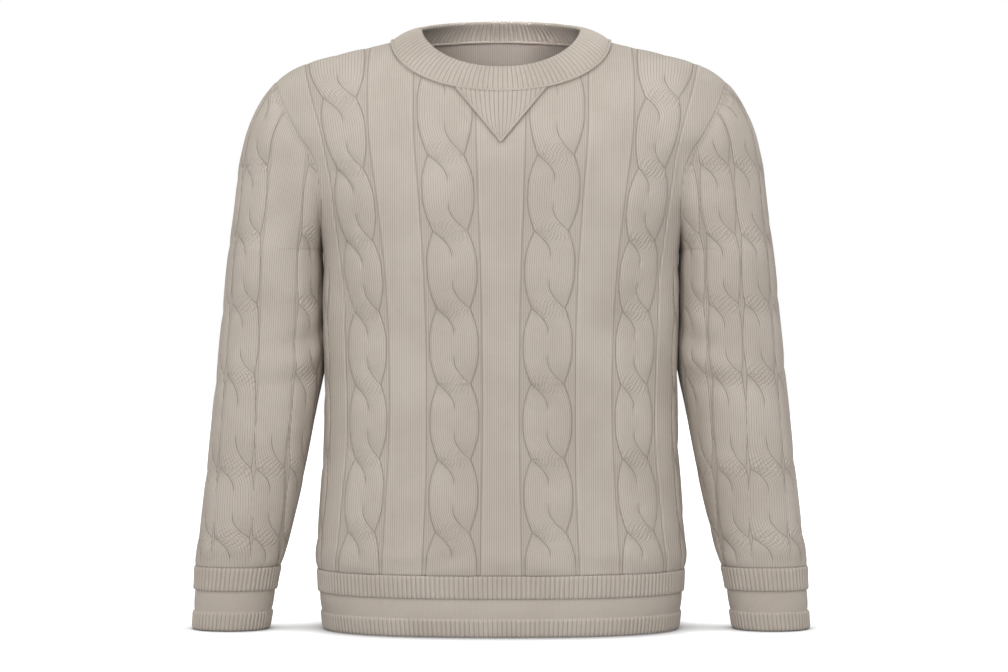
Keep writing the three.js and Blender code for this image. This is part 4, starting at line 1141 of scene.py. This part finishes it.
def stitch_maps(wale, z, cables):
    """The stitch and the place in a cable at the corners of every cell. Each cable comes with
    its places across and phases, wales, half width and pitch, and the height it runs up to."""
    course = corners(z) / COURSE
    wales = np.stack([corners(wale), course], axis=-1)
    places = np.full_like(wales, NO_CABLE)
    nearest = np.full(course.shape[:2], CABLE_LIMIT)
    for out, phase, count, half, pitch, top in cables:
        c, q = corners(out), corners(phase)
        middle_c, middle_q = c.mean(axis=-1), q.mean(axis=-1)
        mine = (np.abs(middle_c) < nearest) & (corners(z).mean(axis=-1) < top)
        nearest = np.where(mine, np.abs(middle_c), nearest)
        places = np.where(mine[..., None, None], np.stack([c, q], axis=-1), places)
        above = np.where(middle_q > np.round(middle_q), 1.0, -1.0)
        edge, groove = cable_edges(middle_q, above)
        left = (middle_c < groove)[..., None]
        across, tilt = strand_wales(c, q, above[..., None], left, count, half, pitch)
        in_strand = mine & (np.abs(middle_c) < edge)
        strand = np.stack([across, course + tilt], axis=-1)
        wales = np.where(in_strand[..., None, None], strand, wales)
    return wales, places


# Sleeves
SLEEVE_LOW_ROWS = 140
SLEEVE_HIGH_ROWS = 84
SLEEVE_HALF_COLUMNS = 96
SLEEVE_INNER_COLUMNS = 8
SLEEVE_STEPS = 161  # for the length of a half round


def sleeve(name, hand):
    low = np.linspace(SLEEVE[0][0], UNDERARM, SLEEVE_LOW_ROWS)
    k = np.arange(1, SLEEVE_HIGH_ROWS + 1) * ARMHOLE_STEPS / SLEEVE_HIGH_ROWS
    levels = np.r_[low, armhole_height(k)]
    shares = np.arange(SLEEVE_HALF_COLUMNS + 1) / SLEEVE_HALF_COLUMNS
    halves, lengths, normals = [], [], []
    for side in ("front", "back"):
        section = {key: value[:, None] for key, value in sleeve_section(side, levels).items()}
        turns = section["end"] * np.linspace(0, 1, SLEEVE_STEPS)
        table = sleeve_point(side, turns, levels[:, None], section)
        run = edge_distance(table, 1)
        total = run[:, -1:]
        angle = np.stack([np.interp(shares * t[0], r, a) for t, r, a in zip(total, run, turns)])
        halves.append(sleeve_point(side, angle, levels[:, None], section))
        normals.append(sleeve_normal(side, angle, levels[:, None]))
        lengths.append(total * shares * FACING[side])
    whole = [np.concatenate([front[:, :0:-1], back], axis=1) for front, back in (halves, normals, lengths)]
    base, normal, distance = whole
    closed = levels <= UNDERARM + 1e-6
    normal[-1] = unit(np.array([0.77, 0, 0.64]))
    z = base[..., 2]
    room = np.where(distance < 0, -lengths[0][:, -1:], lengths[1][:, -1:]) - np.abs(distance)
    phase = cable_phase(SLEEVE_CROSSINGS, z)
    middle_place, middle_half = column(MIDDLE_CABLE, 1)(z), column(MIDDLE_CABLE, 2)(z)
    places = []
    for step in SLEEVE_CABLES:
        half = middle_half if step == 0 else SLEEVE_CABLE_HALF
        across = (distance + middle_place - step * SLEEVE_CABLE_SPACING) / half
        across = close_set(across, phase)
        if step == -1 and hand < 0:
            across = np.where(z > LATE_CABLE_START, NO_CABLE, across)
        places.append(across * hand)
    across = np.array(places)
    chosen = np.argmin(np.abs(across), axis=0)
    nearest = np.take_along_axis(across, chosen[None], axis=0)[0]
    relief = SLEEVE_CABLE_SHARE * cable_relief(nearest, phase) * smooth((room - 2) / 9)
    if hand < 0:
        late = SLEEVE_CABLES.index(-1)
        relief *= np.where(chosen == late, fade(LATE_CABLE_START - z, LATE_CABLE_FADE), 1)
    relief *= fade(z - SLEEVE[0][0], WELT_FADE, WELT_SHARE)
    relief += crease_field(SLEEVE_CREASES, distance, z) * smooth((room + 60 * closed[:, None]) / 14)
    relief += blouse(distance * 2.1, z, SLEEVE[0][0], SLEEVE_SWELL)
    from_seam = np.where(closed[:, None], 99.0, room)
    relief *= fade(from_seam, SEAM_FADE)
    relief += seam_gully(from_seam)
    relief[-1] = 0
    points = base + normal * relief[..., None]
    inside = base - normal * CLOTH
    points[closed, -1], inside[closed, -1] = points[closed, 0], inside[closed, 0]
    points[-1], inside[-1] = points[-1, SLEEVE_HALF_COLUMNS], inside[-1, SLEEVE_HALF_COLUMNS]
    cloth = Cloth()

    def sewn(ids, ring_rows):
        ids = ids.copy()
        ids[ring_rows, -1] = ids[ring_rows, 0]
        ids[-1] = ids[-1, 0]
        return ids

    ids = sewn(cloth.add_points(points), closed)
    strand = (SLEEVE_WALES, SLEEVE_CABLE_HALF, SLEEVE_PITCH, math.inf)
    maps = stitch_maps(distance * hand / WALE, z, [(place, phase, *strand) for place in places])
    cloth.add_grid(ids, *maps)
    kept = np.unique(np.r_[np.arange(0, len(levels), INNER_ROWS), SLEEVE_LOW_ROWS - 1, len(levels) - 1])
    columns = np.arange(0, 2 * SLEEVE_HALF_COLUMNS + 1, SLEEVE_INNER_COLUMNS)
    picked = np.ix_(kept, columns)
    inner = sewn(cloth.add_points(inside[picked]), closed[kept])
    cloth.add_grid(inner, corner_pairs(distance[picked] / WALE, z[picked] / COURSE), facing_in=True)
    cloth.zip_rims(inner[0], ids[0])

    def armhole_rim(grid, ring_rows):
        first = np.flatnonzero(ring_rows)[-1]
        up, down = grid[first:, -1], grid[first:-1, 0][::-1]
        return np.r_[up, down]

    cloth.zip_rims(armhole_rim(inner, closed[kept]), armhole_rim(ids, closed))
    return cloth.piece(name, mirrored=hand < 0)


# Welts
QUARTER_STEPS = 161
RING_STEPS = 641


def hem_ring(z, shares):
    """Points and normals round the body at one height, from the left seam over the back."""
    turns = np.linspace(0, math.pi / 2, QUARTER_STEPS)
    level = np.full(QUARTER_STEPS, float(z))
    front, back = (torso_point(side, turns, level) for side in ("front", "back"))
    mirror = np.array([-1, 1, 1])
    loop = [back[::-1], (back * mirror)[1:], (front * mirror)[::-1][1:], front[1:]]
    return even_ring(np.concatenate(loop), shares)


def even_ring(loop, shares):
    run = edge_distance(loop, 0)
    at = shares * run[-1]
    points = np.stack([np.interp(at, run, loop[:, i]) for i in range(3)], axis=-1)
    along = np.roll(points, -1, axis=0) - np.roll(points, 1, axis=0)
    normals = unit(np.stack([along[:, 1], -along[:, 0], np.zeros(len(at))], axis=-1))
    return points, normals, run[-1]


cuff_column = [column(CUFF, i) for i in range(1, 5)]


def cuff_ring(z, shares):
    outer, inner, middle, deep = (float(curve(z)) for curve in cuff_column)
    turns = np.linspace(0, 2 * math.pi, RING_STEPS)
    x = (outer + inner) / 2 + (outer - inner) / 2 * signed_power(np.cos(turns), 2 / SLEEVE_POWER)
    y = middle + deep * signed_power(np.sin(turns), 2 / SLEEVE_POWER)
    return even_ring(np.stack([x, y, np.full(RING_STEPS, float(z))], axis=-1), shares)


def ribbed_tube(name, points, rows, ribs, wales_round, rib_height, mirrored=False):
    """A ribbed ring of cloth, its section closed. Each row has a height and a share of ribs."""
    count = points.shape[1]
    cloth = Cloth()
    ids = cloth.add_points(points)
    ids = np.concatenate([ids, ids[:1]], axis=0)
    ids = np.concatenate([ids, ids[:, :1]], axis=1)
    around = np.arange(count + 1) / count
    heights, shares = np.array(rows + rows[:1], float).T[..., None]

    def spread(values):
        return np.broadcast_to(values, ids.shape)

    wales = corner_pairs(spread(around * wales_round), spread(heights / COURSE))
    cloth.add_grid(ids, wales, corner_pairs(spread(around * ribs), spread(shares)))
    piece = cloth.piece(name, mirrored)
    point_values(piece, "around", np.tile(around[:-1], len(rows)))
    point_values(piece, "rib_share", np.repeat(shares[:-1, 0], count))
    return grown(piece, WELT_RIBS, Rib_Count=float(ribs), Rib_Height=rib_height * MM, Material=RIBBED)


def welt(name, rows, ribs, ring_at, mirrored=False):
    shares = np.arange(ribs * POINTS_PER_RIB) / (ribs * POINTS_PER_RIB)
    profile = rows + [(mix(rows[-1][0], rows[0][0], t), -CLOTH, 0) for t in WELT_INSIDE]
    points = []
    for z, out, _ in profile:
        ring, normals, length = ring_at(z, shares)
        points.append(ring + normals * out)
    levels = [(z, share) for z, _, share in profile]
    return ribbed_tube(name, np.array(points), levels, ribs, length / WALE, RIB_HEIGHT, mirrored)


# Collar, each row its place up the band, how far it stands out and its share of the ribs
BAND_ROWS = [
    (0.0, -0.9, 0.0),
    (0.02, 0.1, 0.3),
    (0.06, 0.3, 0.9),
    (0.13, 0.3, 1),
    (0.22, 0.3, 1),
    (0.32, 0.3, 1),
    (0.42, 0.3, 1),
    (0.52, 0.3, 1),
    (0.62, 0.3, 1),
    (0.72, 0.3, 1),
    (0.82, 0.3, 1),
    (0.9, 0.2, 1),
    (0.955, 0, 0.9),
    (0.985, -0.5, 0.6),
    (1.0, -1.3, 0.3),
    (0.985, -2.2, 0.5),
    (0.94, -2.7, 0.9),
    (0.86, -2.8, 1),
    (0.72, -2.8, 1),
    (0.58, -2.8, 1),
    (0.44, -2.8, 1),
    (0.3, -2.8, 1),
    (0.16, -2.8, 1),
    (0.05, -2.8, 0.6),
    (0.0, -2.4, 0),
]


def band_turns(count):
    """Turns that are evenly spaced along the collar's cloth."""
    turns = np.linspace(0, 2 * math.pi, BAND_STEPS)
    run = edge_distance(band_point(turns, 0.3), 0)
    return np.interp(np.arange(count) / count * run[-1], run, turns), run[-1]


def collar(name):
    turns, _ = band_turns(BAND_RIBS * POINTS_PER_RIB)
    points = [band_point(turns, v) + band_normal(turns, v) * out for v, out, _ in BAND_ROWS]
    levels = [(v * BAND_HEIGHT, share) for v, _, share in BAND_ROWS]
    return ribbed_tube(name, np.array(points), levels, BAND_RIBS, BAND_WALES, BAND_RIB_HEIGHT)


INSERT_ROWS = 30
INSERT_END = 0.97  # share of the way to its point where the V is squared off
INSERT_BORDER = 0.1  # share of the half width under the linked border
INSERT_LIFT = 0.7
INSERT_FACE = 2.1  # of its plain outer face above the panel


def insert_point(down, share, lift):
    x = np.abs(share) * INSERT_HALF_WIDTH * (1 - down)
    top = top_height("front", np.abs(share) * INSERT_HALF_WIDTH) - 1.4
    z = mix(top, INSERT_POINT, down)
    p = torso_point("front", angle_across(x, z), z)
    p = p * np.stack([np.where(share < 0, -1.0, 1.0), np.ones_like(x), np.ones_like(x)], axis=-1)
    return p + torso_normal("front", p) * np.asarray(lift)[..., None]


def neck_insert(name):
    ribbed = np.linspace(-1, 1, 2 * INSERT_RIBS * POINTS_PER_RIB + 1) * (1 - INSERT_BORDER)
    shares = np.r_[-1, -1 + INSERT_BORDER / 2, ribbed, 1 - INSERT_BORDER / 2, 1]
    down = np.linspace(INSERT_END, 0, INSERT_ROWS)
    grid_down, grid_share = np.meshgrid(down, shares, indexing="ij")
    points_across = grid_share * mix(1, 1 - grid_down, INSERT_UPRIGHT)
    inner_part = smooth((1 - INSERT_BORDER * 0.7 - np.abs(grid_share)) / (INSERT_BORDER * 0.5))
    rib_place = (points_across / (1 - INSERT_BORDER) + 1) / 2
    lift = np.full(grid_down.shape, INSERT_FACE)
    lift[:, [0, -1]] = INSERT_LIFT + 0.3
    points = insert_point(grid_down, grid_share, lift)
    inside = insert_point(grid_down, grid_share, np.full(grid_down.shape, INSERT_LIFT - 0.3))
    cloth = Cloth()
    ids, inner = cloth.add_points(points), cloth.add_points(inside)
    strip = inner_part * fade(INSERT_END - grid_down, 0.1)
    wales = corner_pairs(rib_place * INSERT_RIBS * 2, points[..., 2] / COURSE)
    cloth.add_grid(ids, wales, corner_pairs(rib_place * INSERT_RIBS, strip))
    cloth.add_grid(inner, facing_in=True)
    cloth.close_rims(inner, ids)
    piece = cloth.piece(name)
    point_values(piece, "around", np.tile(rib_place.ravel(), 2))
    point_values(piece, "rib_share", np.r_[(strip * (1 - 0.5 * grid_down)).ravel(), np.zeros(grid_down.size)])
    height = INSERT_RIB_HEIGHT * MM
    return grown(piece, WELT_RIBS, Rib_Count=float(INSERT_RIBS), Rib_Height=height, Material=RIBBED)


# Linking stitches
LINKING_STEPS = 480  # round the collar
INSERT_LINKING_STEPS = 60  # down each side of the V


def stitched_path(name, points, outward, closed, sizes, slant):
    """Stitches along a path: sizes are their spacing, length, width and height."""
    mesh = bpy.data.meshes.new(name)
    count = len(points)
    edges = [(i, i + 1) for i in range(count - 1)] + ([(count - 1, 0)] if closed else [])
    mesh.from_pydata((points * MM).tolist(), edges, [])
    piece = put_in_scene(name, mesh)
    point_values(piece, "outward", outward)
    values = {label: size * MM for label, size in zip(("Spacing", "Length", "Width", "Height"), sizes)}
    return grown(piece, LINKING_STITCHES, Material=LINKING, Slant=slant, **values)


def collar_linking():
    turns, _ = band_turns(LINKING_STEPS)
    normals = unit(band_normal(turns, 0.03) + np.array([0, 0, 0.2]))
    points = band_point(turns, 0.02) + normals * 1.5
    return stitched_path("collar_linking", points, normals, True, (1.6, 4.0, 3.4, 2.6), 0.35)


def collar_inner_roll():
    turns, _ = band_turns(LINKING_STEPS)
    normals = -band_normal(turns, 0.1)
    points = band_point(turns, 0.06) + normals * (CLOTH + 1.4)
    return stitched_path("collar_inner_roll", points, normals, True, (2.1, 3.4, 3.4, 3.0), 0.7)


def insert_linking():
    down = np.linspace(0.02, 1.0, INSERT_LINKING_STEPS)
    share = np.full(INSERT_LINKING_STEPS, 1 - INSERT_BORDER * 0.5)
    lift = np.full(INSERT_LINKING_STEPS, INSERT_FACE + 0.9)
    left, right = (insert_point(down, hand * share, lift) for hand in (-1, 1))
    points = np.concatenate([left, right[::-1][1:]])
    outward = torso_normal("front", points)
    return stitched_path("insert_linking", points, outward, False, (1.6, 3.6, 3.0, 2.4), 0.35)


# The garment
cuff_shift = SLEEVE[0][0] - HEM_TOP  # a cuff's upper edge lies this much higher than the hem's
CUFF_ROWS = [(z + cuff_shift * fade(z + 639, 65), out, share) for z, out, share in HEM_ROWS]

knit_front = body_panel("knit_front", "front", FRONT_CREASES)
knit_back = body_panel("knit_back", "back", BACK_CREASES)
knit_sleeve_left = sleeve("knit_sleeve_left", 1)
knit_sleeve_right = sleeve("knit_sleeve_right", -1)
for piece in (knit_front, knit_back, knit_sleeve_left, knit_sleeve_right):
    piece.data.materials.append(CABLE_KNIT)
ribbed_hem = welt("ribbed_hem", HEM_ROWS, HEM_RIBS, hem_ring)
ribbed_cuff_left = welt("ribbed_cuff_left", CUFF_ROWS, CUFF_RIBS, cuff_ring)
ribbed_cuff_right = welt("ribbed_cuff_right", CUFF_ROWS, CUFF_RIBS, cuff_ring, mirrored=True)
ribbed_collar = collar("ribbed_collar")
ribbed_insert = neck_insert("ribbed_insert")
linking = [collar_linking(), collar_inner_roll(), insert_linking()]

# What each piece stands for, its finish and its flat cut: width, length and area
CUTS = [
    (knit_front, "front", "knit", (0.56, 0.62), 0.31, "hung"),
    (knit_back, "back", "knit", (0.56, 0.64), 0.33, "hung"),
    (knit_sleeve_left, "sleeve_left", "knit", (0.4, 0.56), 0.19, "hung"),
    (knit_sleeve_right, "sleeve_right", "knit", (0.4, 0.56), 0.19, "hung"),
    (ribbed_hem, "hem_band", "rib", (1.05, 0.066), 0.069, "stretched"),
    (ribbed_cuff_left, "cuff_left", "rib", (0.262, 0.068), 0.0178, "stretched"),
    (ribbed_cuff_right, "cuff_right", "rib", (0.262, 0.068), 0.0178, "stretched"),
    (ribbed_collar, "neckband", "rib", (0.6, 0.04), 0.021, "stretched"),
    (ribbed_insert, "neck_insert", "rib", (0.1, 0.056), 0.0029, "stretched"),
]
for piece, node, slot, flat, area, held in CUTS:
    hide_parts(node)
    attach(piece, "root")
for piece in linking:
    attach(piece, "root")


# Studio
# Each light's name, place, aim, width, watts and spread in degrees
LIGHTS = [
    ("key_light", (-1.4, -3.0, 0.55), (0, 0, 0), 1.5, 3.7, 46),
    ("fill_light", (1.9, -2.9, 0.5), (0, 0, 0), 1.8, 2.5, 46),
    ("neck_light", (0, -2.4, 0.55), (0, 0.09, 0.05), 0.1, 0.03, 6),
]
PAPER = (0.4, 0.4, 0.4, 1.0)
PAPER_SHADE = (0.394, 0.394, 0.394, 1.0)


def area_light(name, place, aim, width, watts, spread):
    light = bpy.data.lights.new(name, "AREA")
    light.energy = watts
    light.shape = "RECTANGLE"
    light.size = light.size_y = width
    light.spread = math.radians(spread)
    place, aim = np.array(place), np.array(aim)
    away = unit(place - aim)
    side = unit(np.cross([0, 0, 1], away))
    matrix = np.eye(4)
    matrix[:3] = np.stack([side, np.cross(away, side), away, place], axis=1)
    put_in_scene(name, light).matrix_world = Matrix(matrix.tolist())


def studio_floor():
    bottom = float(CAD_BOX[0][2]) - FLOOR_GAP
    mesh = bpy.data.meshes.new("studio_floor")
    ends = [(x * FLOOR_HALF, y * FLOOR_HALF, bottom) for x, y in ((-1, -1), (1, -1), (1, 1), (-1, 1))]
    mesh.from_pydata(ends, [], [(0, 1, 2, 3)])
    paper = bpy.data.materials.new("studio_paper")
    paper.use_nodes = True
    w = Wiring(paper.node_tree)
    shader = paper.node_tree.nodes["Principled BSDF"]
    entries = {"Vector": w.node("ShaderNodeTexCoord").outputs["Object"], "Scale": 2.0}
    noise = w.fed("ShaderNodeTexNoise", entries).outputs["Fac"]
    w.feed(shader.inputs["Base Color"], w.mixed(noise, PAPER, PAPER_SHADE))
    shader.inputs["Roughness"].default_value = 0.9
    shader.inputs["Emission Color"].default_value = (1.0, 1.0, 1.0, 1.0)
    # The paper glows evenly white to the camera alone, and ambient occlusion dims that glow near the garment
    # as a painted contact shadow
    seen = w.node("ShaderNodeLightPath").outputs["Is Camera Ray"]
    corner = w.fed("ShaderNodeAmbientOcclusion", {"Distance": 0.06}, samples=12).outputs["AO"]
    w.feed(shader.inputs["Emission Strength"], w.times(seen, w.ramp(corner, 0.3, 0.97, 0.0, 0.98)))
    mesh.materials.append(paper)
    put_in_scene("studio_floor", mesh)


def studio():
    studio_floor()
    world = bpy.data.worlds.new("studio_air")
    world.use_nodes = True
    w = Wiring(world.node_tree)
    seen = w.node("ShaderNodeLightPath").outputs["Is Camera Ray"]
    background = world.node_tree.nodes["Background"]
    background.inputs["Color"].default_value = (1.0, 1.0, 1.0, 1.0)
    entries = {"Vector": w.node("ShaderNodeTexCoord").outputs["Generated"]}
    direction = w.fed("ShaderNodeSeparateXYZ", entries)
    from_front = w.ramp(direction.outputs["Y"], -0.9, 0.9, 0.84, 0.6)
    from_above = w.ramp(direction.outputs["Z"], -0.1, 0.9, 1.0, 1.28)
    air = w.times(from_front, from_above)
    w.feed(background.inputs["Strength"], w.math("MAXIMUM", seen, air))
    bpy.context.scene.world = world
    for name, place, aim, width, watts, spread in LIGHTS:
        area_light(name, place, aim, width, watts, spread)
    bpy.context.scene.view_settings.view_transform = "Standard"


def camera():
    lens = bpy.data.cameras.new("camera")
    lens.sensor_fit = "HORIZONTAL"
    lens.sensor_width = SENSOR_WIDTH
    lens.lens = SENSOR_WIDTH * CAMERA_DISTANCE / VIEW_WIDTH
    lens.clip_end = 50
    holder = put_in_scene("camera", lens)
    holder.location = (VIEW_SIDE, -CAMERA_DISTANCE, VIEW_HEIGHT)
    holder.rotation_euler = (math.pi / 2, 0, 0)
    bpy.context.scene.camera = holder


camera()
studio()
